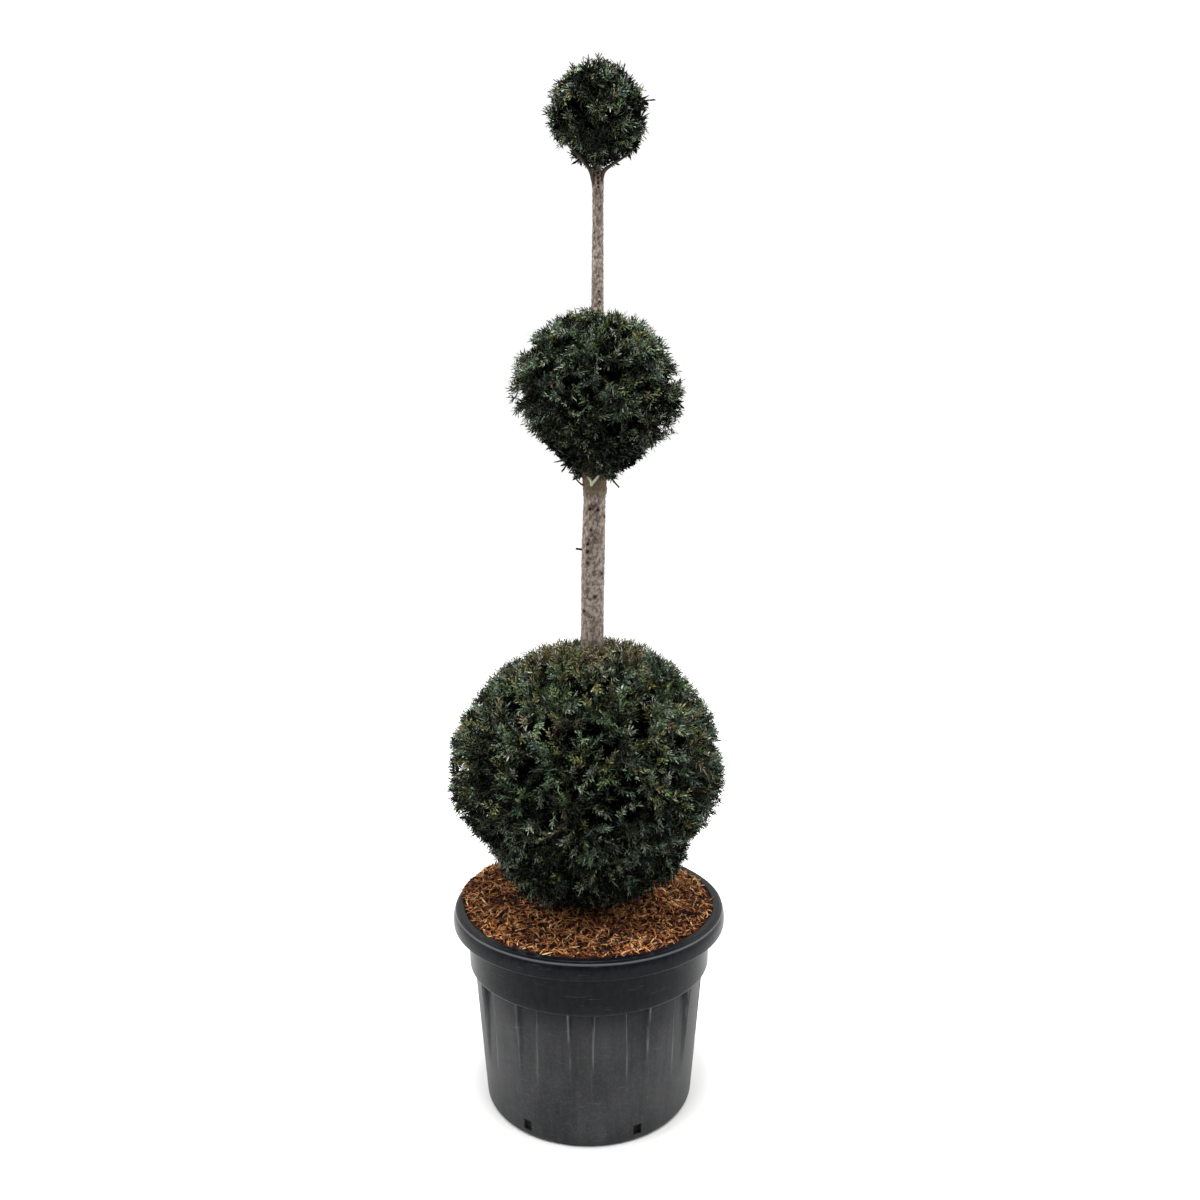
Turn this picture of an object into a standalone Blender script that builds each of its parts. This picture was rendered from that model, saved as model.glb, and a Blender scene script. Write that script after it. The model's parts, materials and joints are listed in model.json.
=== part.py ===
"""A yew clipped into three balls on one stem, planted in a fluted nursery pot.

Metres, +Z up. The origin is the centre of the pot's flat underside. +X is the side that the
stem leans to, and -Y is the front.
"""

import math
import random

import bmesh
import bpy
from mathutils import Matrix, Vector

OBJECT_NAME = "yew_triple_ball_topiary"
GAP = 0.0003  # air between neighbouring pieces
STEM_CLEARANCE = 1.1 * GAP  # a round limb's flats lie inside its radius, so a cut is a little wider
BOUGH_CLEARANCE = 1.3 * GAP
WELD_DISTANCE = 0.00001
TURN = 2 * math.pi
GOLDEN_ANGLE = math.pi * (3 - math.sqrt(5))

# Pot: an injection-moulded container of about 75 litres.
POT_HEIGHT = 0.429
BASE_RADIUS = 0.2265
BASE_ROUND = 0.010
SHOULDER_HEIGHT = 0.300  # underside of the plain collar, over the flutes
WALL_TOP_RADIUS = 0.2535
COLLAR_RADIUS = 0.2640
COLLAR_STEP = 0.0035
FLOOR_HEIGHT = 0.012
WALL_THICKNESS = 0.005
LIP_RADIUS = 0.299
LIP_BOTTOM = 0.391
RIM_RADIUS = 0.2930
MOUTH_RADIUS = 0.2745
MOUTH_RISE = 0.018  # from the lip's underside up to the straight mouth
POT_STEPS = 52

# Flutes: 13 shallow recesses that run out towards the foot of the wall.
FLUTES = 13
FLUTE_PHASE = math.radians(-3.2)  # the flute nearest the front, from -Y towards +X
FLUTE_ANGLE = math.radians(13.6)
FLUTE_DEPTH = 0.0110
FLUTE_FOOT = 0.107  # where a flute's depth has run out
FLUTE_NARROWING = 0.8  # width at the foot, as a share of the width at the top
FLUTE_SEGMENTS = 4

DRAIN_HOLES = 6
DRAIN_PHASE = math.radians(-33.5)
DRAIN_WIDTH = 0.0186
DRAIN_HEIGHT = 0.022
DRAIN_BOTTOM = 0.0145

# Root ball and the coir mulch over it.
SOIL_TOP = 0.405
MULCH_EDGE = 0.4190
MULCH_SEAT = 0.4400  # the flat place that the stem stands on
SEAT_RADIUS = 0.055
BACK_MOUND = 0.012
MOUND_SPREAD = 0.92  # share of the half wave that the mound has run through at the rim
MULCH_STEPS = 40

# Stem: (height, x, radius), with y = 0. It leans a little towards +X.
STEM_FOOT_X = 0.0068
STEM_STATIONS = (
    (MULCH_SEAT + GAP, STEM_FOOT_X, 0.0430),
    (0.450, STEM_FOOT_X, 0.0365),
    (0.468, 0.0068, 0.0310),
    (0.520, 0.0068, 0.0275),
    (0.800, 0.0069, 0.0254),
    (1.050, 0.0077, 0.0245),
    (1.200, 0.0096, 0.0251),
    (1.310, 0.0122, 0.0238),
    (1.345, 0.0124, 0.0250),
    (1.370, 0.0126, 0.0268),
    (1.400, 0.0130, 0.0240),
    (1.480, 0.0142, 0.0200),
    (1.600, 0.0170, 0.0158),
    (1.715, 0.0189, 0.0132),
    (1.780, 0.0190, 0.0126),
    (1.850, 0.0194, 0.0119),
    (1.960, 0.0199, 0.0117),
    (1.988, 0.0195, 0.0138),
    (2.020, 0.0190, 0.0095),
    (2.070, 0.0195, 0.0060),
    (2.125, 0.0205, 0.0030),
)
LIMB_ROUNDNESS = 4  # bevel resolution: 12 sides
TWIG_ROUNDNESS = 1  # bevel resolution: 6 sides

# Boughs, as (name, height on the stem, bearing in degrees, reach, rise, radius at the root).
# Bearing 0 is +X and 90 is +Y, the back.
BOUGHS = (
    ("bough_middle_right", 1.352, 12.0, 0.062, 0.068, 0.0085),
    ("bough_middle_back_right", 1.364, 82.0, 0.060, 0.064, 0.0075),
    ("bough_middle_back_left", 1.350, 150.0, 0.062, 0.072, 0.0080),
    ("bough_middle_left", 1.358, 215.0, 0.060, 0.066, 0.0080),
    ("bough_middle_front", 1.350, 290.0, 0.060, 0.072, 0.0080),
    ("bough_top_left", 1.988, 184.0, 0.056, 0.074, 0.0045),
    ("bough_top_right", 2.006, 352.0, 0.058, 0.060, 0.0040),
    ("bough_top_back", 1.998, 95.0, 0.050, 0.064, 0.0040),
    ("bough_top_front", 2.004, 262.0, 0.050, 0.064, 0.0038),
)
BOUGH_TIP_SHARE = 0.55  # radius at the tip, as a share of the root's
BOUGH_POINTS = 6
BOUGH_CURVE = 1.35  # above 1, a limb leaves the stem flatter than it ends
BOUGH_ROUNDNESS = 2  # bevel resolution: 8 sides

# Bare pruned twigs and stubs on the stem, in the same terms.
TWIGS = (
    ("twig_thin_left", 1.345, 196.0, 0.052, 0.042, 0.0022),
    ("stub_pruned_front", 1.345, 278.0, 0.046, 0.026, 0.0055),
    ("twig_grey_right", 1.354, 334.0, 0.060, -0.014, 0.0026),
    ("stub_left", 1.208, 190.0, 0.038, 0.005, 0.0042),
)
TWIG_TIP_SHARE = 0.75
THIN_TWIG_RADIUS = 0.003  # a thinner limb gets 6 sides


class Ball:
    """One clipped mass: its centre, its outline and the shoots that stand out of it."""

    def __init__(self, name, centre, radius, up, down, underside, inset, shoots, limbs, spray, seed):
        self.name = name
        self.centre = Vector(centre)
        self.radius = radius
        self.up = up  # reach above the centre
        self.down = down  # reach below the centre
        self.underside = underside  # (power of the radius, power of the drop) below the centre
        self.inset = inset  # how far the core lies inside the outline
        self.shoots = shoots
        self.limbs = limbs
        self.spray = spray  # length of a spray's blade
        self.seed = seed

    def reach(self, direction, inset=0.0):
        """Distance from the centre to the outline, less an inset, along a unit direction."""
        across = math.hypot(direction.x, direction.y) / (self.radius - inset)
        if direction.z >= 0:
            return 1 / math.hypot(across, direction.z / (self.up - inset))
        radius_power, drop_power = self.underside
        drop = -direction.z / (self.down - inset)
        low, high = 0.0, 2 * self.down + 2 * self.radius
        for _ in range(40):
            middle = (low + high) / 2
            if (across * middle) ** radius_power + (drop * middle) ** drop_power < 1:
                low = middle
            else:
                high = middle
        return low


BALLS = (
    Ball("lower_ball", (-0.006, 0, 0.724), 0.304, 0.283, 0.290, (2, 2), 0.019, 86, 11, 0.086, 5),
    Ball("middle_ball", (0.018, 0, 1.550), 0.191, 0.183, 0.214, (1, 1.75), 0.018, 50, 8, 0.070, 17),
    Ball("top_ball", (0.020, 0, 2.122), 0.112, 0.123, 0.120, (1.2, 2), 0.016, 30, 6, 0.056, 29),
)
CORE_SEGMENTS = {"lower_ball": 26, "middle_ball": 22, "top_ball": 16}
SPRAY_WIDTH_SHARE = 0.70  # of the blade's length
SPRAY_THICKNESS = 0.0018
SPRAY_SPLAY = math.radians(62)  # how far a spray leans from straight outwards
TWIG_RADIUS = 0.0030
LIMB_CLEARANCE = 0.005
PLACING_ATTEMPTS = 9
PLACING_STEP = 0.008  # how far each attempt draws a tip in, as a share of the way to the centre
GROUND_CLEARANCE = 0.003
HEART_DROP = 0.15  # the limbs' start below the centre, as a share of the reach down
LIMB_REACH = 0.55  # the limbs' end, as a share of the outline
LIMB_UNEVENNESS = 0.10
TWIG_REACH = 0.995
TWIG_UNEVENNESS = 0.35  # over the square root of the number of twigs
TWIG_START = 0.15  # how far back along its limb a twig leaves
TWIG_DEPTH = 0.75  # length of a fused twig, as a share of its spray

# A spray's blade: where its teeth stand, along and across a blade of unit length and width.
TOOTH_PAIRS = 2
TOOTH_PITCH = 0.34
TOOTH_RISE = 0.16  # from a tooth's root to its tip, along the blade
NOTCH_RISE = 0.18
BLADE_HALF_WIDTH = 0.50
TOOTH_NARROWING = 0.14  # each pair is this much shorter
NOTCH_HALF_WIDTH = 0.15
ROOT_HALF_WIDTH = 0.10

COLOURS = {
    "pot_plastic": ((0.075, 0.078, 0.082, 1), 0.55),
    "root_ball_soil": ((0.045, 0.030, 0.020, 1), 0.95),
    "coir_mulch": ((0.230, 0.095, 0.040, 1), 0.90),
    "stem_bark": ((0.260, 0.215, 0.170, 1), 0.85),
    "bough_bark": ((0.230, 0.165, 0.115, 1), 0.85),
    "yew_needles": ((0.035, 0.075, 0.035, 1), 0.60),
}


# --- scene and mesh helpers ---


def clear_scene():
    for obj in list(bpy.data.objects):
        bpy.data.objects.remove(obj, do_unlink=True)


def make_collection(name, hidden=False):
    collection = bpy.data.collections.new(name)
    collection.hide_render = hidden
    bpy.context.scene.collection.children.link(collection)
    return collection


def make_material(slot):
    colour, roughness = COLOURS[slot]
    material = bpy.data.materials.new(slot)
    material.use_nodes = True
    shader = material.node_tree.nodes["Principled BSDF"]
    shader.inputs["Base Color"].default_value = colour
    shader.inputs["Roughness"].default_value = roughness
    shader.inputs["Metallic"].default_value = 0.0
    material.diffuse_color = colour
    return material


def add_mesh_object(name, mesh, collection, slot=None):
    obj = bpy.data.objects.new(name, mesh)
    collection.objects.link(obj)
    if slot:
        mesh.materials.clear()
        mesh.materials.append(make_material(slot))
    else:
        obj.hide_render = True
        obj.display_type = "WIRE"
    return obj


def evaluated_mesh(obj):
    graph = bpy.context.evaluated_depsgraph_get()
    return bpy.data.meshes.new_from_object(obj.evaluated_get(graph))


def closed_mesh_of(curve):
    """A curve's mesh with its caps welded on. The curve is removed."""
    holder = bpy.data.objects.new(curve.name, curve)
    bpy.context.scene.collection.objects.link(holder)
    mesh = evaluated_mesh(holder)
    bpy.data.objects.remove(holder, do_unlink=True)
    bpy.data.curves.remove(curve)
    work = bmesh.new()
    work.from_mesh(mesh)
    bmesh.ops.remove_doubles(work, verts=work.verts, dist=WELD_DISTANCE)
    bmesh.ops.recalc_face_normals(work, faces=work.faces)
    work.to_mesh(mesh)
    work.free()
    return mesh


def apply_modifiers(obj):
    mesh = evaluated_mesh(obj)
    obj.modifiers.clear()
    obj.data = mesh


def shade_round(obj, sharp_degrees=35):
    obj.data.shade_smooth()
    obj.data.set_sharp_from_angle(angle=math.radians(sharp_degrees))


def turned(name, profile, steps, collection, slot):
    """A solid turned round Z from (radius, height) points that run down its outer side."""
    mesh = bpy.data.meshes.new(name)
    points = [(radius, 0.0, height) for radius, height in profile]
    mesh.from_pydata(points, [(i, i + 1) for i in range(len(points) - 1)], [])
    obj = add_mesh_object(name, mesh, collection, slot)
    screw = obj.modifiers.new("turn", "SCREW")
    screw.steps = steps
    screw.render_steps = steps
    screw.use_merge_vertices = True
    screw.merge_threshold = WELD_DISTANCE
    return obj


def boolean(obj, operation, collection):
    modifier = obj.modifiers.new(operation.lower(), "BOOLEAN")
    modifier.operation = operation
    modifier.operand_type = "COLLECTION"
    modifier.collection = collection
    modifier.solver = "EXACT"


def discard(collection):
    for obj in list(collection.objects):
        bpy.data.objects.remove(obj, do_unlink=True)
    bpy.data.collections.remove(collection)


def keep_main_body(obj):
    """Leaves the largest body alone, which fills sealed hollows and drops loose scraps."""
    work = bmesh.new()
    work.from_mesh(obj.data)
    left = set(work.verts)
    bodies = []
    while left:
        body, front = set(), [left.pop()]
        while front:
            vertex = front.pop()
            body.add(vertex)
            for edge in vertex.link_edges:
                other = edge.other_vert(vertex)
                if other in left:
                    left.discard(other)
                    front.append(other)
        bodies.append(body)
    main = max(bodies, key=len)
    scraps = [vertex for body in bodies if body is not main for vertex in body]
    bmesh.ops.delete(work, geom=scraps, context="VERTS")
    work.to_mesh(obj.data)
    work.free()


# --- pot ---


def wall_radius(height):
    """Outer radius of the tapered wall between the foot and the collar."""
    share = (height - BASE_ROUND) / (SHOULDER_HEIGHT - BASE_ROUND)
    return BASE_RADIUS + share * (WALL_TOP_RADIUS - BASE_RADIUS)


def flute_radius(height):
    """Radius of a flute's floor, which meets the wall at FLUTE_FOOT."""
    share = (height - FLUTE_FOOT) / (SHOULDER_HEIGHT - FLUTE_FOOT)
    return wall_radius(height) - share * FLUTE_DEPTH


def inner_wall():
    """(radius, height) of the pot's inside, from the floor up to the mouth."""
    return (
        (wall_radius(FLOOR_HEIGHT) - WALL_THICKNESS, FLOOR_HEIGHT),
        (wall_radius(FLUTE_FOOT) - WALL_THICKNESS, FLUTE_FOOT),
        (flute_radius(SHOULDER_HEIGHT) - WALL_THICKNESS, SHOULDER_HEIGHT),
        (COLLAR_RADIUS - WALL_THICKNESS, SHOULDER_HEIGHT + COLLAR_STEP + WALL_THICKNESS),
        (COLLAR_RADIUS - WALL_THICKNESS, LIP_BOTTOM),
        (MOUTH_RADIUS, LIP_BOTTOM + MOUTH_RISE),
    )


def pot_profile():
    """Up the inside, over the rolled rim and down the outside."""
    rim_top = POT_HEIGHT
    outside = (
        (MOUTH_RADIUS, rim_top - 0.004),
        (MOUTH_RADIUS + 0.003, rim_top),
        (RIM_RADIUS - 0.005, rim_top),
        (RIM_RADIUS, rim_top - 0.0025),
        (RIM_RADIUS + 0.001, rim_top - 0.006),
        (LIP_RADIUS - 0.001, rim_top - 0.015),
        (LIP_RADIUS, rim_top - 0.026),
        (LIP_RADIUS - 0.001, LIP_BOTTOM + 0.004),
        (LIP_RADIUS - 0.005, LIP_BOTTOM),
        (COLLAR_RADIUS + 0.0015, LIP_BOTTOM),
        (COLLAR_RADIUS, SHOULDER_HEIGHT + COLLAR_STEP),
        (COLLAR_RADIUS - 0.002, SHOULDER_HEIGHT),
        (WALL_TOP_RADIUS, SHOULDER_HEIGHT),
        (wall_radius(FLUTE_FOOT), FLUTE_FOOT),
        (BASE_RADIUS, BASE_ROUND),
        (BASE_RADIUS - 0.0025, 0.004),
        (BASE_RADIUS - 0.0070, 0.001),
        (BASE_RADIUS - 0.0110, 0.0),
    )
    return ((0.0, FLOOR_HEIGHT), *inner_wall(), *outside, (0.0, 0.0))


def polar(radius, bearing, height):
    """A point at a bearing from the front, -Y, towards +X."""
    return Vector((radius * math.sin(bearing), -radius * math.cos(bearing), height))


def add_flute_cutter(index, collection):
    """A curved block that takes one flute out of the wall."""
    middle = FLUTE_PHASE + index * TURN / FLUTES
    work = bmesh.new()
    bmesh.ops.create_cube(work, size=1.0)
    across = [edge for edge in work.edges if abs(edge.verts[0].co.x - edge.verts[1].co.x) > 0.5]
    bmesh.ops.subdivide_edges(work, edges=across, cuts=FLUTE_SEGMENTS - 1)
    bottom = FLUTE_FOOT - 0.01
    for vertex in work.verts:
        at_top, outside = vertex.co.z > 0, vertex.co.y < 0
        height = SHOULDER_HEIGHT if at_top else bottom
        width = FLUTE_ANGLE * (1 if at_top else FLUTE_NARROWING)
        radius = COLLAR_RADIUS + 0.02 if outside else flute_radius(height)
        vertex.co = polar(radius, middle + vertex.co.x * width, height)
    bmesh.ops.recalc_face_normals(work, faces=work.faces)
    mesh = bpy.data.meshes.new(f"flute_cutter_{index}")
    work.to_mesh(mesh)
    work.free()
    add_mesh_object(mesh.name, mesh, collection)


def add_drain_cutter(index, collection):
    """A square-sided block through the wall just over the floor."""
    bearing = DRAIN_PHASE + index * TURN / DRAIN_HOLES
    height = DRAIN_BOTTOM + DRAIN_HEIGHT / 2
    work = bmesh.new()
    size = Matrix.Diagonal((DRAIN_WIDTH, 0.04, DRAIN_HEIGHT, 1))
    place = Matrix.Translation(polar(wall_radius(height), bearing, height))
    bmesh.ops.create_cube(work, size=1.0, matrix=place @ Matrix.Rotation(bearing, 4, "Z") @ size)
    mesh = bpy.data.meshes.new(f"drain_cutter_{index}")
    work.to_mesh(mesh)
    work.free()
    add_mesh_object(mesh.name, mesh, collection)


def add_pot(parts, cutters):
    for index in range(FLUTES):
        add_flute_cutter(index, cutters)
    for index in range(DRAIN_HOLES):
        add_drain_cutter(index, cutters)
    pot = turned("pot", pot_profile(), POT_STEPS, parts, "pot_plastic")
    boolean(pot, "DIFFERENCE", cutters)
    apply_modifiers(pot)
    shade_round(pot)


# --- root ball and mulch ---


def inside_at(height):
    """Radius just clear of the pot's inside at a height."""
    points = inner_wall()
    for (low_radius, low), (high_radius, high) in zip(points, points[1:]):
        if low <= height <= high:
            share = (height - low) / (high - low)
            return low_radius + share * (high_radius - low_radius) - 2 * GAP
    return MOUTH_RADIUS - 2 * GAP


def add_root_ball(parts):
    heights = (SOIL_TOP, LIP_BOTTOM, SHOULDER_HEIGHT + COLLAR_STEP + WALL_THICKNESS)
    heights += (SHOULDER_HEIGHT, FLUTE_FOOT, FLOOR_HEIGHT + GAP)
    side = tuple((inside_at(height) - GAP, height) for height in heights)
    profile = ((0.0, SOIL_TOP), *side, (0.0, FLOOR_HEIGHT + GAP))
    soil = turned("root_ball", profile, POT_STEPS // 2, parts, "root_ball_soil")
    apply_modifiers(soil)
    shade_round(soil)


def mulch_height(x, y):
    """The mulch's surface: level at the stem, lower at the rim and banked up at the back."""
    radius = math.hypot(x, y)
    edge = MOUTH_RADIUS - 2 * GAP
    outwards = max(0.0, min(1.0, (radius - SEAT_RADIUS) / (edge - SEAT_RADIUS)))
    fall = (MULCH_SEAT - MULCH_EDGE) * outwards**2
    bank = BACK_MOUND * max(0.0, y / edge) * math.sin(math.pi * min(1.0, outwards * MOUND_SPREAD))
    return MULCH_SEAT - fall + bank


def add_mulch(parts):
    edge = MOUTH_RADIUS - 2 * GAP
    rings = (SEAT_RADIUS, 0.11, 0.165, 0.215, 0.250, edge)
    top = tuple((radius, mulch_height(radius, 0.0)) for radius in rings)
    side = ((edge, LIP_BOTTOM + MOUTH_RISE), (inside_at(SOIL_TOP + GAP) - GAP, SOIL_TOP + GAP))
    profile = ((0.0, MULCH_SEAT), *top, *side, (0.0, SOIL_TOP + GAP))
    mulch = turned("mulch", profile, MULCH_STEPS, parts, "coir_mulch")
    apply_modifiers(mulch)
    for vertex in mulch.data.vertices:
        if vertex.co.z > MULCH_EDGE - 0.001 and math.hypot(vertex.co.x, vertex.co.y) > 0.001:
            vertex.co.z = mulch_height(vertex.co.x, vertex.co.y)
    shade_round(mulch)


# --- stem, boughs and pruned twigs ---


def stem_at(height):
    """(point on the stem's axis, radius) at a height, eased between the stations."""
    stations = STEM_STATIONS
    height = max(stations[0][0], min(stations[-1][0], height))
    for (low, low_x, low_radius), (high, high_x, high_radius) in zip(stations, stations[1:]):
        if height <= high:
            break
    share = (height - low) / (high - low)
    x = low_x + share * (high_x - low_x)
    radius = low_radius + share * (high_radius - low_radius)
    return Vector((x, 0.0, height)), radius


def stem_stations():
    return [(Vector((x, 0.0, height)), radius) for height, x, radius in STEM_STATIONS]


def limb_stations(height, bearing_degrees, reach, rise, root_radius, tip_share):
    """A limb that leaves the stem's axis outwards and turns upwards towards its tip."""
    start, _ = stem_at(height)
    bearing = math.radians(bearing_degrees)
    outwards = Vector((math.cos(bearing), math.sin(bearing), 0.0))
    stations = []
    for index in range(BOUGH_POINTS):
        share = index / (BOUGH_POINTS - 1)
        point = start + outwards * (reach * share) + Vector((0, 0, rise * share**BOUGH_CURVE))
        stations.append((point, root_radius * (1 + (tip_share - 1) * share)))
    return stations


def limb_mesh(name, stations, extra, roundness):
    """A closed round limb through (point, radius) stations, each radius enlarged by extra."""
    curve = bpy.data.curves.new(name, "CURVE")
    curve.dimensions = "3D"
    curve.bevel_depth = 1.0
    curve.bevel_resolution = roundness
    curve.use_fill_caps = True
    spline = curve.splines.new("POLY")
    spline.points.add(len(stations) - 1)
    for point, (place, radius) in zip(spline.points, stations):
        point.co = (*place, 1.0)
        point.radius = radius + extra
    return closed_mesh_of(curve)


def add_limbs(parts, clearances):
    """The stem, the boughs and the bare twigs, and an enlarged copy of each as clearance."""
    mesh = limb_mesh("trunk", stem_stations(), 0, LIMB_ROUNDNESS)
    stem = add_mesh_object("trunk", mesh, parts, "stem_bark")
    shade_round(stem)
    around_stem = make_collection("stem_clearance", hidden=True)
    mesh = limb_mesh("stem_clearance", stem_stations(), STEM_CLEARANCE, LIMB_ROUNDNESS)
    cutter = add_mesh_object("stem_clearance", mesh, around_stem)
    clearances.objects.link(cutter)
    kinds = [(row, BOUGH_TIP_SHARE) for row in BOUGHS] + [(row, TWIG_TIP_SHARE) for row in TWIGS]
    for (name, *sizes), tip_share in kinds:
        roundness = TWIG_ROUNDNESS if sizes[-1] < THIN_TWIG_RADIUS else BOUGH_ROUNDNESS
        stations = limb_stations(*sizes, tip_share)
        limb = add_mesh_object(name, limb_mesh(name, stations, 0, roundness), parts, "bough_bark")
        boolean(limb, "DIFFERENCE", around_stem)
        apply_modifiers(limb)
        shade_round(limb)
        mesh = limb_mesh(f"{name}_clearance", stations, BOUGH_CLEARANCE, roundness)
        add_mesh_object(mesh.name, mesh, clearances)


# --- clipped masses ---


def spray_outline():
    """(across, along) points of a toothed blade, root at 0 and tip at 1, half a unit each side."""
    right = [(ROOT_HALF_WIDTH, 0.0)]
    for pair in range(TOOTH_PAIRS):
        along = TOOTH_PITCH * (pair + 1)
        right.append((BLADE_HALF_WIDTH - TOOTH_NARROWING * pair, along + TOOTH_RISE))
        right.append((NOTCH_HALF_WIDTH, along + NOTCH_RISE))
    left = [(-across, along) for across, along in reversed(right)]
    return [*right, (0.0, 1.0), *left]


def spray_mesh():
    """The blade as a flat closed mesh, one unit long and wide and SPRAY_THICKNESS thick."""
    curve = bpy.data.curves.new("spray", "CURVE")
    curve.dimensions = "2D"
    curve.fill_mode = "BOTH"
    curve.extrude = SPRAY_THICKNESS / 2
    outline = spray_outline()
    spline = curve.splines.new("POLY")
    spline.points.add(len(outline) - 1)
    for point, (across, along) in zip(spline.points, outline):
        point.co = (across, along, 0.0, 1.0)
    spline.use_cyclic_u = True
    return closed_mesh_of(curve)


def even_directions(count, rng, unevenness):
    """Unit directions spread evenly over a sphere by the golden angle, each moved a little."""
    start = rng.uniform(0, TURN)
    directions = []
    for index in range(count):
        z = 1 - 2 * (index + 0.5) / count
        across = math.sqrt(1 - z * z)
        bearing = start + index * GOLDEN_ANGLE
        direction = Vector((across * math.cos(bearing), across * math.sin(bearing), z))
        shift = Vector([rng.gauss(0, unevenness) for _ in range(3)])
        directions.append((direction + shift).normalized())
    return directions


def branching(ball):
    """The mass's twigs as (root, tip): one stem, limbs from its heart and twigs from their ends."""
    rng = random.Random(ball.seed)
    heart = ball.centre + Vector((0, 0, -HEART_DROP * ball.down))
    limb_tips = []
    for direction in even_directions(ball.limbs, rng, LIMB_UNEVENNESS):
        limb_tips.append(ball.centre + direction * LIMB_REACH * ball.reach(direction))
    twigs = []
    unevenness = TWIG_UNEVENNESS / math.sqrt(ball.shoots)
    for direction in even_directions(ball.shoots, rng, unevenness):
        tip = ball.centre + direction * ball.reach(direction) * TWIG_REACH
        limb_tip = min(limb_tips, key=lambda place: (place - tip).length)
        twigs.append((limb_tip.lerp(heart, TWIG_START), tip))
    return twigs


def is_clear(point, ball):
    """Whether a point keeps to the ball's space, off the limbs and off the mulch."""
    offset = point - ball.centre
    if offset.length > ball.reach(offset.normalized()) + 0.0005:
        return False
    if point.z < mulch_height(point.x, point.y) + GROUND_CLEARANCE:
        return False
    axis, radius = stem_at(point.z)
    if point.z < STEM_STATIONS[-1][0] and (point - axis).length < radius + LIMB_CLEARANCE:
        return False
    return True


def spray_frame(ball, root, tip, rng):
    """The axes of a spray at a tip: along it, across it, and out of its face."""
    outwards = (tip - ball.centre).normalized()
    along = (tip - root).normalized()
    sideways = outwards.cross(Vector((rng.gauss(0, 1), rng.gauss(0, 1), rng.gauss(0.6, 1))))
    sideways.normalize()
    lean = SPRAY_SPLAY * rng.uniform(0.78, 1.08)
    along = (along * math.cos(lean) + sideways * math.sin(lean)).normalized()
    face = (outwards - along * outwards.dot(along)).normalized()
    face = (face + 0.35 * Vector([rng.gauss(0, 1) for _ in range(3)])).normalized()
    across = along.cross(face).normalized()
    return along, across, across.cross(along).normalized()


def place_spray(ball, root, tip, template, rng):
    """Where a spray goes, as a matrix: turned until it keeps to its space, or None."""
    length = ball.spray * rng.uniform(0.9, 1.1)
    width = SPRAY_WIDTH_SHARE * length
    for attempt in range(PLACING_ATTEMPTS):
        end = tip.lerp(ball.centre, PLACING_STEP * attempt)
        along, across, face = spray_frame(ball, root, end, rng)
        scaled = Matrix((across * width, along * length, face)).transposed().to_4x4()
        place = Matrix.Translation(end - along * length) @ scaled
        if all(is_clear(place @ vertex.co, ball) for vertex in template.vertices):
            return place
    return None


def add_twig_and_spray(ball, index, root, tip, template, rng, group):
    """A three-sided twig sunk in the core and the toothed blade that it ends in."""
    place = place_spray(ball, root, tip, template, rng)
    if place is None:
        return False
    blade = template.copy()
    blade.transform(place)
    add_mesh_object(f"{ball.name}_spray_{index}", blade, group)
    middle = place @ Vector((0, 0.52, 0))
    axis = (middle - root).normalized() * TWIG_DEPTH * ball.spray
    turn = axis.to_track_quat("Z", "Y").to_matrix().to_4x4()
    work = bmesh.new()
    bmesh.ops.create_cone(
        work,
        cap_ends=True,
        segments=3,
        radius1=TWIG_RADIUS,
        radius2=0.55 * TWIG_RADIUS,
        depth=axis.length,
        matrix=Matrix.Translation(middle - axis / 2) @ turn,
    )
    mesh = bpy.data.meshes.new(f"{ball.name}_twig_{index}")
    work.to_mesh(mesh)
    work.free()
    add_mesh_object(mesh.name, mesh, group)
    return True


def core_profile(ball, rings):
    """(radius, height) points down the core's side, from the top of its axis to the bottom."""
    profile = []
    for index in range(rings + 1):
        angle = math.pi * index / rings
        direction = Vector((math.sin(angle), 0.0, math.cos(angle)))
        reach = ball.reach(direction, ball.inset)
        profile.append((max(0.0, reach * direction.x), reach * direction.z))
    profile[0] = (0.0, profile[0][1])
    profile[-1] = (0.0, profile[-1][1])
    return profile


def add_mass(ball, parts, clearances):
    """The core and its twigs and sprays fused into one solid, cut clear of stem and boughs."""
    segments = CORE_SEGMENTS[ball.name]
    mass = turned(ball.name, core_profile(ball, segments // 2), segments, parts, "yew_needles")
    apply_modifiers(mass)
    mass.data.transform(Matrix.Translation(ball.centre))
    group = make_collection(f"{ball.name}_sprays", hidden=True)
    template = spray_mesh()
    rng = random.Random(ball.seed + 1)
    kept = 0
    for index, (root, tip) in enumerate(branching(ball)):
        kept += add_twig_and_spray(ball, index, root, tip, template, rng, group)
    boolean(mass, "UNION", group)
    apply_modifiers(mass)
    discard(group)
    boolean(mass, "DIFFERENCE", clearances)
    apply_modifiers(mass)
    keep_main_body(mass)
    return kept


def main():
    clear_scene()
    parts = make_collection(OBJECT_NAME)
    cutters = make_collection("pot_cutters", hidden=True)
    clearances = make_collection("limb_clearances", hidden=True)
    add_pot(parts, cutters)
    add_root_ball(parts)
    add_mulch(parts)
    add_limbs(parts, clearances)
    for ball in BALLS:
        kept = add_mass(ball, parts, clearances)
        print(f"{ball.name}: {kept} of {ball.shoots} sprays kept")


main()
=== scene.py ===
"""Looks of a yew clipped into three balls on one stem, in a fluted nursery pot.

Metres, +Z up. The pot's underside is at the origin and the front is towards -Y. Every piece
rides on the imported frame: the pot and its mulch, the stem and boughs with their bark, and three
masses of twigs and needles that grow on from the limbs.
"""

from __future__ import annotations

import json
import logging
import math
import random
from dataclasses import asdict, dataclass, field
from enum import Enum
from typing import Any, Iterable, Mapping, Sequence

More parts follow.
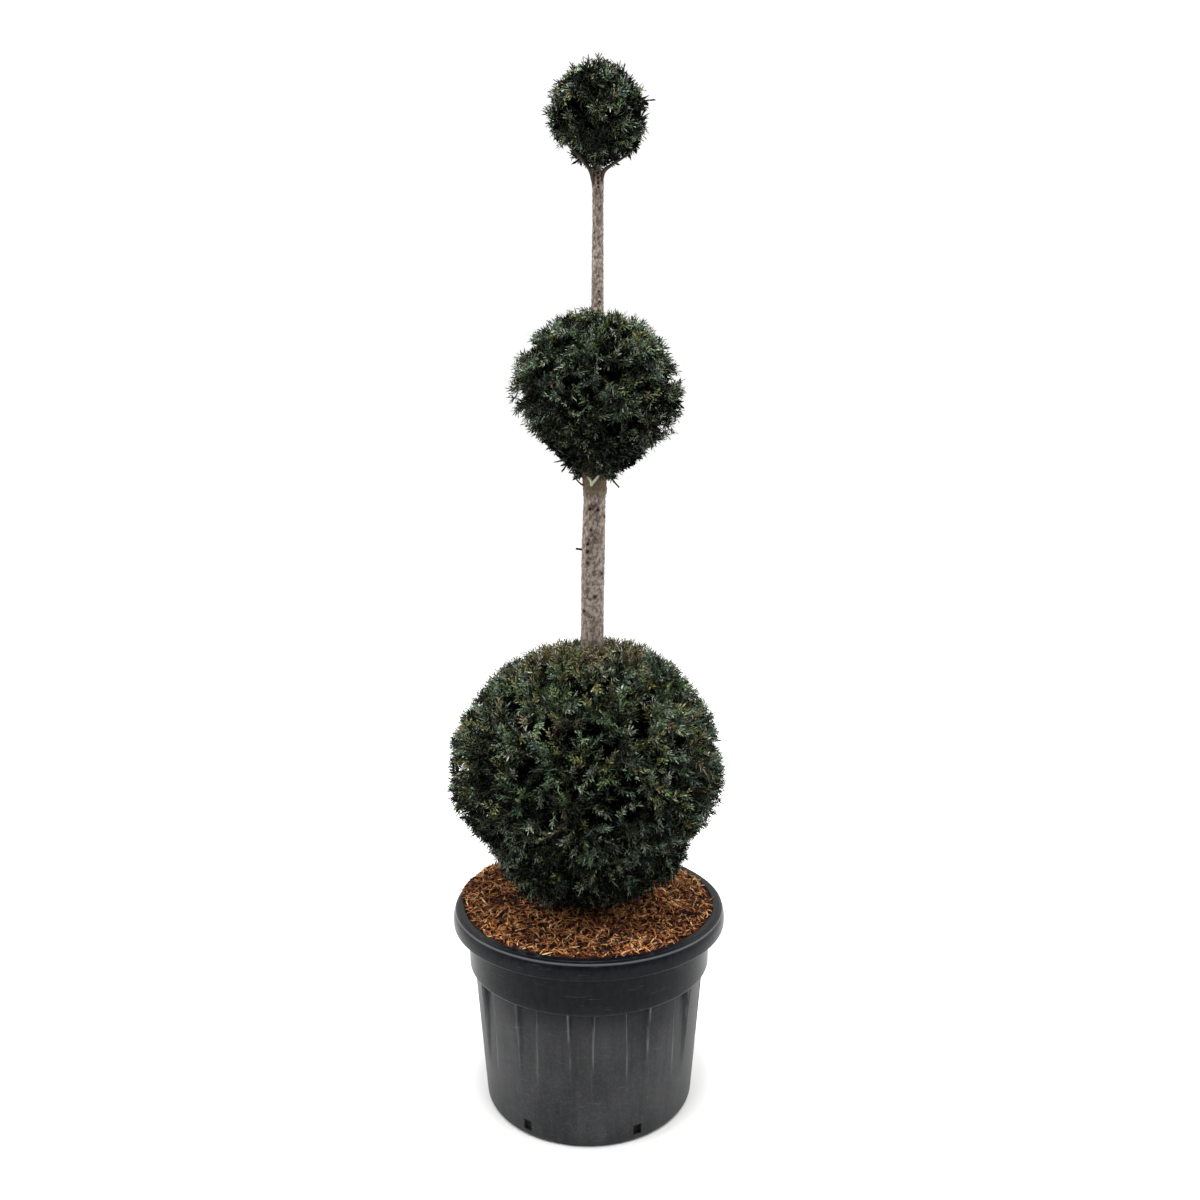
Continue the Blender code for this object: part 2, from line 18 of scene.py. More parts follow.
import bpy  # noqa: E402
import numpy as np  # noqa: E402
from mathutils import Matrix, Vector, noise  # noqa: E402

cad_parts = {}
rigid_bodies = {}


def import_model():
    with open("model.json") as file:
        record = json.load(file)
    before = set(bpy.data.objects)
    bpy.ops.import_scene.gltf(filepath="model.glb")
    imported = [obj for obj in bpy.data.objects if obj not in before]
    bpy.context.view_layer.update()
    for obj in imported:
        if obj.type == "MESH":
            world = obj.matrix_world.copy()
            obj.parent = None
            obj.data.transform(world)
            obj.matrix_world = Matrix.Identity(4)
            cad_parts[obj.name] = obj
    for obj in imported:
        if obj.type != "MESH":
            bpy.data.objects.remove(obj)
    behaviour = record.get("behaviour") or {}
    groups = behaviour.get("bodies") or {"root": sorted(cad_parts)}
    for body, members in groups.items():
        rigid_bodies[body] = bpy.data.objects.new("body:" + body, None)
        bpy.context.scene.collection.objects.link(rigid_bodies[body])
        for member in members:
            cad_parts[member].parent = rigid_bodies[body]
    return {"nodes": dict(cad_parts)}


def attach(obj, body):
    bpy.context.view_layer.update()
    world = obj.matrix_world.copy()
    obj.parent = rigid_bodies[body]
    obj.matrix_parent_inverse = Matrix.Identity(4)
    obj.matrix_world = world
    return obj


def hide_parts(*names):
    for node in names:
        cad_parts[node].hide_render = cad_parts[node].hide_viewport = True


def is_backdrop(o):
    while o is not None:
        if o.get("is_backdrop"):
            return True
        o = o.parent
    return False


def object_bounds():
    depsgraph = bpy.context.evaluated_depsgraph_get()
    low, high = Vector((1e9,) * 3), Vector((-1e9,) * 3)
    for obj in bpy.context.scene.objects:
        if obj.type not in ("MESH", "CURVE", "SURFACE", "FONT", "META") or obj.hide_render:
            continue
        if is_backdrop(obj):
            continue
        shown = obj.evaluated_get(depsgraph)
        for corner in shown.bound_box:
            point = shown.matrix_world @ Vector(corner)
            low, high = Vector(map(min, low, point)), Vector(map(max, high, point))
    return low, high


MM = 0.001
TURN = 2 * math.pi
GOLDEN_ANGLE = math.pi * (3 - math.sqrt(5))
Tree = bpy.types.NodeTree
Socket = bpy.types.NodeSocket
Mesh = bpy.types.Mesh
Face = tuple[int, ...]
MATH = "ShaderNodeMath"
VECTOR_MATH = "ShaderNodeVectorMath"
MAP_RANGE = "ShaderNodeMapRange"
UPWARDS = Vector((0.0, 0.0, 1.0))
BODY = "root"
WELD = 0.01 * MM
ARC_POINTS = 6
log = logging.getLogger("yew")


# --- helpers ---


def linear(hex_colour: str) -> tuple[float, float, float, float]:
    """Turns an sRGB colour to the linear values that a shader takes.

    Args:
        hex_colour: Six hex digits, with or without a leading hash.

    Returns:
        Red, green, blue and an alpha of 1.
    """
    digits = hex_colour.lstrip("#")
    values = [int(digits[i : i + 2], 16) / 255 for i in (0, 2, 4)]
    red, green, blue = (v / 12.92 if v <= 0.04045 else ((v + 0.055) / 1.055) ** 2.4 for v in values)
    return red, green, blue, 1.0


def add_node(
    tree: Tree,
    kind: str,
    inputs: Mapping[str | int, Any] | Sequence[Any] = (),
    output: str | None = None,
    **settings: Any,
) -> Socket | None:
    """Adds a node with its settings and links.

    Args:
        tree: The tree that takes the node.
        kind: The node's type.
        inputs: A value or a socket to link for each input, in order or by name or place.
        output: The output to return, or the first one where it isn't named.
        **settings: The node's own settings.

    Returns:
        One of the node's outputs, or None where it has none.
    """
    node = tree.nodes.new(kind)
    for name, value in settings.items():
        setattr(node, name, value)
    for key, value in (inputs.items() if isinstance(inputs, Mapping) else enumerate(inputs)):
        socket = node.inputs[key] if isinstance(key, int) else None
        socket = socket or next(s for s in node.inputs if s.enabled and s.name == key)
        if isinstance(value, Socket):
            tree.links.new(value, socket)
        else:
            socket.default_value = value
    outputs = [socket for socket in node.outputs if socket.enabled]
    if output is not None:
        return next(socket for socket in outputs if socket.name == output)
    return outputs[0] if outputs else None


def mesh_from(name: str, points: Sequence, edges: Sequence = (), faces: Sequence = ()) -> Mesh:
    """Makes a mesh from its points and edges or faces.

    Args:
        name: The mesh's name.
        points: The corners.
        edges: Pairs of places in points.
        faces: Loops of places in points.

    Returns:
        The mesh.
    """
    mesh = bpy.data.meshes.new(name)
    mesh.from_pydata([tuple(p) for p in points], list(edges), list(faces))
    return mesh


def holder_of(name: str, mesh: Mesh) -> bpy.types.Object:
    """Links a mesh to the scene as an object."""
    holder = bpy.data.objects.new(name, mesh)
    bpy.context.scene.collection.objects.link(holder)
    return holder


def evaluated(holder: bpy.types.Object) -> Mesh:
    """Turns an object's evaluated shape to a plain mesh and removes the object."""
    graph = bpy.context.evaluated_depsgraph_get()
    mesh = bpy.data.meshes.new_from_object(holder.evaluated_get(graph))
    bpy.data.objects.remove(holder, do_unlink=True)
    return mesh


def add_piece(name: str, mesh: Mesh, slot: str, replaces: Iterable[str] = ()) -> bpy.types.Object:
    """Adds a finished piece to the frame.

    Args:
        name: The piece's name.
        mesh: Its mesh, in place and with its material.
        slot: The record's material slot for the piece; not used.
        replaces: The nodes that it stands for.

    Returns:
        The piece.
    """
    piece = holder_of(name, mesh)
    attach(piece, BODY)
    for node in replaces:
        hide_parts(node)
    triangles = sum(len(polygon.vertices) - 2 for polygon in mesh.polygons)
    log.info("%s: %d triangles", name, triangles)
    return piece


def keep_values(mesh: Mesh, name: str, values: Sequence[float]) -> None:
    """Stores one value for each point of a mesh, for a recipe to read."""
    mesh.attributes.new(name, "FLOAT", "POINT").data.foreach_set("value", values)


def keep_within(mesh: Mesh, low: Sequence[float], high: Sequence[float]) -> None:
    """Moves the few points that stand outside a box back to its faces.

    Args:
        mesh: The mesh.
        low: The lowest corner of the box.
        high: Its highest corner.
    """
    places = np.empty(len(mesh.vertices) * 3)
    mesh.vertices.foreach_get("co", places)
    mesh.vertices.foreach_set("co", np.clip(places.reshape(-1, 3), low, high).ravel())
    mesh.update()


def between(low: float, high: float, share: float) -> float:
    """The value at a share of the way from low to high."""
    return low + (high - low) * share


def eased(low: float, high: float, value: float) -> float:
    """0 below low, 1 above high and a smooth step between."""
    share = max(0.0, min(1.0, (value - low) / (high - low)))
    return share * share * (3 - 2 * share)


# --- finishes ---


@dataclass(frozen=True)
class Coat:
    """A material's nodes: its tree, its Principled shader and the object's coordinates in metres."""

    tree: Tree
    shader: bpy.types.Node
    place: Socket

    def blend(self, share: Any, first: Any, second: Any) -> Socket:
        """Blends two colours, each a hex colour or a socket, by the share of the second.

        Args:
            share: How much of the second shows, as a value or a socket.
            first: A hex colour or a socket.
            second: A hex colour or a socket.

        Returns:
            The blended colour.
        """
        first, second = (linear(c) if isinstance(c, str) else c for c in (first, second))
        return self.add("ShaderNodeMix", {"Factor": share, "A": first, "B": second}, data_type="RGBA")

    def add(self, kind: str, *given: Any, **settings: Any) -> Socket:
        """Adds a node to the material, as add_node does."""
        return add_node(self.tree, kind, *given, **settings)

    def give(self, label: str, value: Socket) -> None:
        """Links a value to one of the shader's inputs."""
        self.tree.links.new(value, self.shader.inputs[label])

    def rise(self, height: Socket, depth: float) -> None:
        """Gives the surface a relief, from a height between 0 and 1 and a real depth in metres."""
        inputs = {"Height": height, "Strength": 1.0, "Distance": depth}
        self.give("Normal", self.add("ShaderNodeBump", inputs))


@dataclass(frozen=True)
class Grain:
    """A noise pattern: its real size along each axis, and the noise values that become 0 and 1."""

    size: tuple[float, float, float]
    low: float = 0.0
    high: float = 1.0
    detail: float = 3.0

    def on(self, coat: Coat) -> Socket:
        """The pattern's value on a surface, between 0 and 1.

        Args:
            coat: The material's nodes.

        Returns:
            The value.
        """
        add = coat.add
        inputs = {"Vector": coat.place, "Scale": tuple(1 / length for length in self.size)}
        mapped = add("ShaderNodeMapping", inputs)
        inputs = {"Vector": mapped, "Scale": 1.0, "Detail": self.detail}
        inputs = {"Value": add("ShaderNodeTexNoise", inputs)}
        return add(MAP_RANGE, {**inputs, "From Min": self.low, "From Max": self.high})


@dataclass(frozen=True)
class Finish:
    """A real surface finish, made as one material."""

    name: str
    roughness: float
    ior: float = 1.5
    specular: float = 0.5

    def material(self) -> bpy.types.Material:
        """Makes the material.

        Returns:
            The material, with this finish's nodes behind its shader.
        """
        material = bpy.data.materials.new(self.name)
        material.use_nodes = True
        tree = material.node_tree
        shader = tree.nodes["Principled BSDF"]
        shader.inputs["IOR"].default_value = self.ior
        shader.inputs["Specular IOR Level"].default_value = self.specular
        shader.inputs["Roughness"].default_value = self.roughness
        self.dress(Coat(tree, shader, add_node(tree, "ShaderNodeTexCoord", output="Object")))
        return material

    def dress(self, coat: Coat) -> None:
        """Adds the finish's own nodes to a coat."""
        raise NotImplementedError


@dataclass(frozen=True)
class MouldedPolypropylene(Finish):
    """Recycled black polypropylene, injection moulded: satin, a little cloudy, dusty on its wall, with
    painted highlights on its edges.
    """

    name: str = "moulded_polypropylene"
    roughness: float = 0.30
    ior: float = 1.38
    specular: float = 0.13
    base: str = "#040508"
    cloud: str = "#0e1014"
    dust: str = "#6b6b6c"
    splash: str = "#85868a"
    clouds: Grain = Grain((0.010, 0.010, 0.016), 0.36, 0.64, 4.0)
    film: Grain = Grain((0.13, 0.13, 0.16), 0.12, 0.80, 5.0)
    streaks: Grain = Grain((0.016, 0.016, 0.12), 0.20, 0.80, 4.0)
    streak_share: float = 0.45
    dust_share: float = 0.24
    dusty_roughness: float = 0.60
    dull_at: float = 0.5
    clean_share: float = 0.05
    clean_from: float = 0.215
    clean_to: float = 0.330
    specks: Grain = Grain((0.0045, 0.0045, 0.006), 0.46, 0.74, 2.0)
    speck_share: float = 0.05
    scuffs: Grain = Grain((0.030, 0.030, 0.0014), 0.60, 0.70, 5.0)
    scuffed: Grain = Grain((0.06, 0.06, 0.03), 0.50, 0.62)
    scuff_share: float = 0.16
    wear: Grain = Grain((0.02, 0.02, 0.05), 0.30, 0.62)
    edge_rub: float = 0.85
    lip_edge: tuple[float, float, float] = (0.2942, 0.0, 0.4240)
    lip_rub: float = 0.34
    lip_rub_from: float = 0.0032
    lip_rub_to: float = 0.0010
    # The mould's grain is about 0.3 mm, drawn at 2 mm so that it shows.
    mould_grain: Grain = Grain((2 * MM, 2 * MM, 2 * MM))
    mould_depth: float = 0.25 * MM

    def marks(self, coat: Coat, height: Socket) -> Socket:
        """How much is scuffed pale or painted with a highlight: fine scuffs on the wall, and painted
        highlights on the flutes' edges and the lip.

        Args:
            coat: The material's nodes.
            height: The height of the place.

        Returns:
            The share that is scuffed pale or painted with a highlight.
        """
        add = coat.add
        marks = self.scuffs.on(coat)
        for factor in (self.scuffed.on(coat), self.scuff_share):
            marks = add(MATH, (marks, factor), operation="MULTIPLY")
        # Painted highlights: the flutes' outer edges and the lip's top edge are painted pale where they
        # catch the light.
        rub = add("ShaderNodeAttribute", output="Fac", attribute_name="rub")
        rub = add(MATH, (rub, self.wear.on(coat)), operation="MULTIPLY")
        flat = add(VECTOR_MATH, (coat.place, (1.0, 1.0, 0.0)), operation="MULTIPLY")
        reach = add(VECTOR_MATH, (flat,), "Value", operation="LENGTH")
        spot = add("ShaderNodeCombineXYZ", {"X": reach, "Z": height})
        gap = add(VECTOR_MATH, (spot, self.lip_edge), "Value", operation="DISTANCE")
        inputs = {"Value": gap, "From Min": self.lip_rub_from, "From Max": self.lip_rub_to}
        lip = add(MAP_RANGE, {**inputs, "To Max": self.lip_rub})
        rub = add(MATH, (rub, lip), operation="MAXIMUM")
        return add(MATH, (rub, self.edge_rub, marks), operation="MULTIPLY_ADD", use_clamp=True)

    def dress(self, coat: Coat) -> None:
        """Clouded plastic under a thin uneven film of dust, paler below the shoulder partly as painted
        light, with fine scuffs, painted edge highlights and a spark-eroded grain.

        Args:
            coat: The material's nodes.
        """
        add = coat.add
        colour = coat.blend(self.clouds.on(coat), self.base, self.cloud)
        # The wall below the shoulder takes dust and the collar and lip almost none: partly real dust,
        # partly painted bounce light from the floor on the wall and painted shade under the lip.
        height = add("ShaderNodeSeparateXYZ", {"Vector": coat.place}, "Z")
        inputs = {"Value": height, "From Min": self.clean_from, "From Max": self.clean_to}
        inputs |= {"To Min": 1.0, "To Max": self.clean_share}
        low = add(MAP_RANGE, inputs, interpolation_type="SMOOTHSTEP")
        inputs = (self.streaks.on(coat), self.streak_share, self.film.on(coat))
        dust_and_bounce = add(MATH, inputs, operation="MULTIPLY_ADD")
        for factor in (self.dust_share, low):
            dust_and_bounce = add(MATH, (dust_and_bounce, factor), operation="MULTIPLY")
        colour = coat.blend(dust_and_bounce, colour, self.dust)
        specks = self.specks.on(coat)
        for factor in (low, self.speck_share):
            specks = add(MATH, (specks, factor), operation="MULTIPLY")
        colour = coat.blend(specks, colour, self.splash)
        coat.give("Base Color", coat.blend(self.marks(coat, height), colour, self.splash))
        inputs = {"Value": dust_and_bounce, "From Max": self.dull_at}
        inputs |= {"To Min": self.roughness, "To Max": self.dusty_roughness}
        coat.give("Roughness", add(MAP_RANGE, inputs))
        coat.rise(self.mould_grain.on(coat), self.mould_depth)


@dataclass(frozen=True)
class MoistPeat(Finish):
    """Dark potting soil: matt crumbs of 5 mm, almost black where it is moist."""

    name: str = "moist_peat"
    roughness: float = 0.95
    dark: str = "#060504"
    light: str = "#120d09"
    crumbs: Grain = Grain((5 * MM, 5 * MM, 5 * MM), 0.35, 0.65)
    crumb_depth: float = 2 * MM

    def dress(self, coat: Coat) -> None:
        """Crumbs in two browns.

        Args:
            coat: The material's nodes.
        """
        crumbs = self.crumbs.on(coat)
        coat.give("Base Color", coat.blend(crumbs, self.dark, self.light))
        coat.rise(crumbs, self.crumb_depth)


@dataclass(frozen=True)
class Mottled(Finish):
    """A finish of one colour that wanders towards its shade over patches of a real size; on needles the two
    are painted light and painted shade.
    """

    base: str = "#8a5230"
    shade: str = "#4b2817"
    patch: float = 0.012
    low: float = 0.30
    high: float = 0.75
    relief: float = 0.0
    drift: float = 0.0
    fine: Grain = Grain((1.5 * MM, 1.5 * MM, 1.5 * MM))

    def dress(self, coat: Coat) -> None:
        """Patches, with wider ones over them where the colour drifts, and a fine relief.

        Args:
            coat: The material's nodes.
        """
        wander = Grain((self.patch, self.patch, self.patch), self.low, self.high).on(coat)
        if self.drift:
            wide = Grain((self.drift, self.drift, self.drift), 0.42, 0.70, 1.0).on(coat)
            wander = coat.add(MATH, (wander, wide), operation="ADD", use_clamp=True)
        coat.give("Base Color", coat.blend(wander, self.base, self.shade))
        if self.relief:
            coat.rise(self.fine.on(coat), self.relief)


@dataclass(frozen=True)
class CoirStrand(Mottled):
    """Dry coir: dull fibre in one of four browns, patchy along a strand and over a hand's breadth."""

    roughness: float = 0.85
    ior: float = 1.4
    patch: float = 0.009
    low: float = 0.42
    high: float = 0.64
    drift: float = 0.09


@dataclass(frozen=True)
class WoodChip(Mottled):
    """Split wood: dull, with pale and weathered patches of about 6 mm."""

    roughness: float = 0.85
    ior: float = 1.4
    patch: float = 0.006


@dataclass(frozen=True)
class NeedleSkin(Mottled):
    """The waxy skin of a yew needle: satin, with painted light and painted shade in patches smaller than a
    needle.
    """

    roughness: float = 0.38
    ior: float = 1.42
    patch: float = 0.0045
    low: float = 0.45
    high: float = 0.56


# Damp coir dust under the strands: matt, dark red brown and uneven.
COIR_CRUMBS = Mottled("coir_crumbs", 0.95, 1.3, 0.3, "#4a2413", "#0d0503", 0.007, 0.38, 0.60, 2 * MM)
# A pruned stub without its bark: pale grey green wood, smooth to the eye.
HEARTWOOD = Mottled("peeled_heartwood", 0.7, base="#9fa894", shade="#7d7a62", patch=0.006, relief=0.4 * MM)
# The bark of limbs inside the balls: dull dark brown.
TWIG_BARK = Mottled("twig_bark", 0.85, base="#4a3425", shade="#2c1e15", patch=0.008, relief=0.3 * MM)
# This year's shoots: green brown skin with a soft sheen.
GREEN_SHOOT = Mottled("green_shoot", 0.7, base="#4b4f2b", shade="#33351d", patch=0.02)
# Matt near-white paint, with no visible grain.
FLOOR_PAINT = Mottled("matt_floor_paint", 0.8, base="#f4f4f3", shade="#efefee", patch=0.9)


@dataclass(frozen=True)
class FlakingBark(Finish):
    """Yew bark: matt scales in grey and red brown, dark in the cracks and in the pits of pruning scars,
    partly with painted shade in these hollows.
    """

    name: str = "flaking_yew_bark"
    roughness: float = 0.85
    plate: str = "#90857b"
    brown: str = "#61534a"
    crack: str = "#2f241e"
    blush: str = "#4c3b22"
    ring: str = "#523626"
    scar: str = "#0d0806"
    patches: Grain = Grain((0.007, 0.007, 0.010), 0.42, 0.58, 4.0)
    blush_from: float = 1.318
    blush_to: float = 1.342
    blush_share: float = 0.92
    fade_from: float = 1.382
    fade_to: float = 1.492
    faded_share: float = 0.12
    crack_from: float = 0.46
    crack_to: float = 0.22
    ring_share: float = 0.55
    scar_from: float = 0.04
    scar_to: float = 0.45
    fibres: Grain = Grain((1.6 * MM, 1.6 * MM, 4 * MM), detail=4.0)
    fibre_depth: float = 0.8 * MM

    def dress(self, coat: Coat) -> None:
        """Plates and cracks that follow the mesh's own relief, browner where the boughs leave.

        Args:
            coat: The material's nodes.
        """
        add = coat.add
        colour = coat.blend(self.patches.on(coat), self.plate, self.brown)
        height = add("ShaderNodeSeparateXYZ", {"Vector": coat.place}, "Z")
        inputs = {"Value": height, "From Min": self.blush_from, "From Max": self.blush_to}
        blush = add(MAP_RANGE, {**inputs, "To Max": self.blush_share})
        inputs = {"Value": height, "From Min": self.fade_from, "From Max": self.fade_to}
        fade = add(MAP_RANGE, {**inputs, "To Min": 1.0, "To Max": self.faded_share})
        blush = add(MATH, (blush, fade), operation="MULTIPLY")
        colour = coat.blend(blush, colour, self.blush)
        # The cracks and the scars' pits are darkened: partly the bark's own colour, partly painted shade in
        # these hollows.
        for label, low, high, share, tone in (
            ("relief", self.crack_from, self.crack_to, 1.0, self.crack),
            ("ring", 0.0, 1.0, self.ring_share, self.ring),
            ("scar", self.scar_from, self.scar_to, 1.0, self.scar),
        ):
            amount = add("ShaderNodeAttribute", output="Fac", attribute_name=label)
            inputs = {"Value": amount, "From Min": low, "From Max": high, "To Max": share}
            colour = coat.blend(add(MAP_RANGE, inputs), colour, tone)
        coat.give("Base Color", colour)
        coat.rise(self.fibres.on(coat), self.fibre_depth)


# The boughs' young bark: the same scales, thin, dark and brown.
THIN_BARK = FlakingBark("thin_bough_bark", plate="#3e3327", brown="#2a2018", crack="#110b07")


class Tint(Enum):
    """The colours that yew foliage takes: (lit colour, shaded colour), painted light and painted shade.
    SHADE is painted shade inside; DEEP and DUSK are dealt where little light reaches, partly painted shade;
    PALE is painted glints.
    """

    SHADE = ("#0c110b", "#030402")
    DEEP = ("#1a2119", "#040503")
    DUSK = ("#1f2319", "#050504")
    MID = ("#6d7f62", "#12180f")
    BLUE = ("#597264", "#0e1712")
    FRESH = ("#6d8750", "#18240f")
    OLIVE = ("#888755", "#1f1f10")
    BRONZE = ("#897b60", "#251e14")
    # Painted glints: the wax's highlights, dealt as a tint.
    PALE = ("#979d8e", "#2c3129")


# Each tint's part of the sprays: (in the shade, in the sun). The two dark ones are then scaled by
# how little light reaches a spray.
TINT_SHARES = {
    Tint.DEEP: (0.58, 0.58),
    Tint.DUSK: (0.42, 0.42),
    Tint.MID: (0.22, 0.30),
    Tint.BLUE: (0.09, 0.09),
    Tint.FRESH: (0.03, 0.13),
    Tint.OLIVE: (0.02, 0.12),
    Tint.BRONZE: (0.01, 0.05),
    Tint.PALE: (0.04, 0.10),
}


class Fibre(Enum):
    """The colours of coir strands: (outer colour, shaded colour)."""

    ORANGE = ("#dc9b58", "#7a431f")
    RUSSET = ("#b06a42", "#4a2411")
    STRAW = ("#f2ca94", "#a8763f")
    UMBER = ("#35201a", "#0f0705")


class Timber(Enum):
    """The colours of wood chips: (split face, weathered face)."""

    PALE = ("#dfb08a", "#a8754c")
    RED = ("#8f4d2b", "#43200f")


# --- Geometry Nodes recipes ---


class Recipe:
    """A Geometry Nodes tree with named inputs, run on one mesh at a time."""

    name = "recipe"
    objects: Sequence[str] = ()
    counts: Sequence[str] = ()
    sizes: Sequence[str] = ()

    def __init__(self) -> None:
        """Makes the tree with its inputs: a geometry, the objects, counts and sizes, and a material."""
        self.tree = bpy.data.node_groups.new(self.name, "GeometryNodeTree")
        face = self.tree.interface
        face.new_socket("Geometry", in_out="OUTPUT", socket_type="NodeSocketGeometry")
        inputs = {"Geometry": ["Geometry"], "Object": self.objects, "Int": self.counts}
        inputs |= {"Float": self.sizes, "Material": ["Material"]}
        self.sockets = {
            label: face.new_socket(label, in_out="INPUT", socket_type=f"NodeSocket{kind}").identifier
            for kind, labels in inputs.items()
            for label in labels
        }
        self.given = self.tree.nodes.new("NodeGroupInput").outputs
        geometry = self.shape()
        geometry = self.add("GeometryNodeRealizeInstances", {"Geometry": geometry})
        inputs = {"Geometry": geometry, "Material": self.given["Material"]}
        geometry = self.add("GeometryNodeSetMaterial", inputs)
        self.add("NodeGroupOutput", {"Geometry": geometry})

    def shape(self) -> Socket:
        """Builds the nodes and returns the geometry that they make."""
        raise NotImplementedError

    def add(self, kind: str, *given: Any, **settings: Any) -> Socket:
        """Adds a node to the tree, as add_node does."""
        return add_node(self.tree, kind, *given, **settings)

    def tube(self, line: Socket) -> Socket:
        """Draws a smooth tube of the given sides along lines, as thick as their "girth".

        Args:
            line: The lines, as curves.

        Returns:
            The tubes.
        """
        add = self.add
        girth = add("GeometryNodeInputNamedAttribute", {"Name": "girth"}, data_type="FLOAT")
        ring = add("GeometryNodeCurvePrimitiveCircle", {"Resolution": self.given["Sides"], "Radius": 1.0})
        inputs = {"Curve": line, "Profile Curve": ring, "Scale": girth, "Fill Caps": True}
        tube = add("GeometryNodeCurveToMesh", inputs)
        return add("GeometryNodeSetShadeSmooth", {"Geometry": tube})

    def planted(
        self,
        points: Socket,
        turn: Socket,
        limit: Mapping[str, Any],
        source: str,
        shape: Any = (1.0, 1.0, 1.0),
    ) -> Socket:
        """Sets a copy of an object at each point, turned and shrunk by chance.

        Args:
            points: Where the copies stand.
            turn: The way that each one faces.
            limit: The largest turn by chance about each of its own axes.
            source: The input that gives the object.
            shape: The stretch of each copy along its own axes.

        Returns:
            The copies, as instances.
        """
        add, given = self.add, self.given
        limit = add("ShaderNodeCombineXYZ", limit)
        opposite = add(VECTOR_MATH, {0: limit, "Scale": -1.0}, operation="SCALE")
        inputs = {"Min": opposite, "Max": limit, "Seed": given["Seed"]}
        jitter = add("FunctionNodeRandomValue", inputs, data_type="FLOAT_VECTOR")
        jitter = add("FunctionNodeEulerToRotation", {"Euler": jitter})
        inputs = {"Rotation": turn, "Rotate By": jitter}
        turn = add("FunctionNodeRotateRotation", inputs, rotation_space="LOCAL")
        inputs = {"Min": given["Smallest"], "Max": 1.0, "Seed": given["Seed"]}
        size = add("FunctionNodeRandomValue", inputs, data_type="FLOAT")
        size = add(VECTOR_MATH, {0: shape, "Scale": size}, operation="SCALE")
        copies = add("GeometryNodeObjectInfo", {"Object": given[source]}, "Geometry")
        inputs = {"Points": points, "Instance": copies, "Rotation": turn, "Scale": size}
        return add("GeometryNodeInstanceOnPoints", inputs)

    def run(self, name: str, source: Mesh, **values: Any) -> Mesh:
        """Runs the tree on a mesh.

        Args:
            name: The name of the mesh to make.
            source: The mesh that the tree starts from.
            **values: The inputs, in lower case and with underscores for the spaces in their names.

        Returns:
            A plain mesh.
        """
        holder = holder_of(name, source)
        modifier = holder.modifiers.new(self.name, "NODES")
        modifier.node_group = self.tree
        for label, value in values.items():
            modifier[self.sockets[label.replace("_", " ").capitalize()]] = value
        mesh = evaluated(holder)
        mesh.name = name
        return mesh


class NeedleRecipe(Recipe):
    """Needles in two ranks along every line, on the side that the line's "face" points to."""

    name = "needle_growth"
    objects = ("Needles",)
    counts = ("Seed",)
    sizes = ("Pitch", "Roll", "Tilt", "Smallest")
    taper_from = 0.62
    tip_width = 0.42
    tip_length = 1.25

    def shape(self) -> Socket:
        """Sets a group of needles at each step of a line, smaller and more forward at its tip.

        Returns:
            The needles.
        """
        add, given = self.add, self.given
        line = add("GeometryNodeMeshToCurve", {"Mesh": given["Geometry"]})
        line = add("GeometryNodeResampleCurve", {"Curve": line, "Length": given["Pitch"]}, mode="LENGTH")
        face = add("GeometryNodeInputNamedAttribute", {"Name": "face"}, data_type="FLOAT_VECTOR")
        tangent = add("GeometryNodeInputTangent")
        turn = add("FunctionNodeAlignRotationToVector", {"Vector": tangent}, axis="Y")
        inputs = {"Rotation": turn, "Vector": face}
        turn = add("FunctionNodeAlignRotationToVector", inputs, axis="Z", pivot_axis="Y")
        along = add("GeometryNodeSplineParameter", output="Factor")
        inputs = {"Value": along, "From Min": self.taper_from, "From Max": 1.0, "To Min": 1.0}
        across = add(MAP_RANGE, {**inputs, "To Max": self.tip_width})
        forward = add(MAP_RANGE, {**inputs, "To Max": self.tip_length})
        shape = add("ShaderNodeCombineXYZ", {"X": across, "Y": forward, "Z": 1.0})
        limit = {"X": given["Tilt"], "Y": given["Roll"], "Z": given["Tilt"]}
        return self.planted(line, turn, limit, "Needles", shape)


class TwigRecipe(Recipe):
    """Wood round every line, as thick as the line's "girth"."""

    name = "twig_growth"
    counts = ("Sides",)

    def shape(self) -> Socket:
        """Draws a many-sided tube along each line."""
        return self.tube(self.add("GeometryNodeMeshToCurve", {"Mesh": self.given["Geometry"]}))


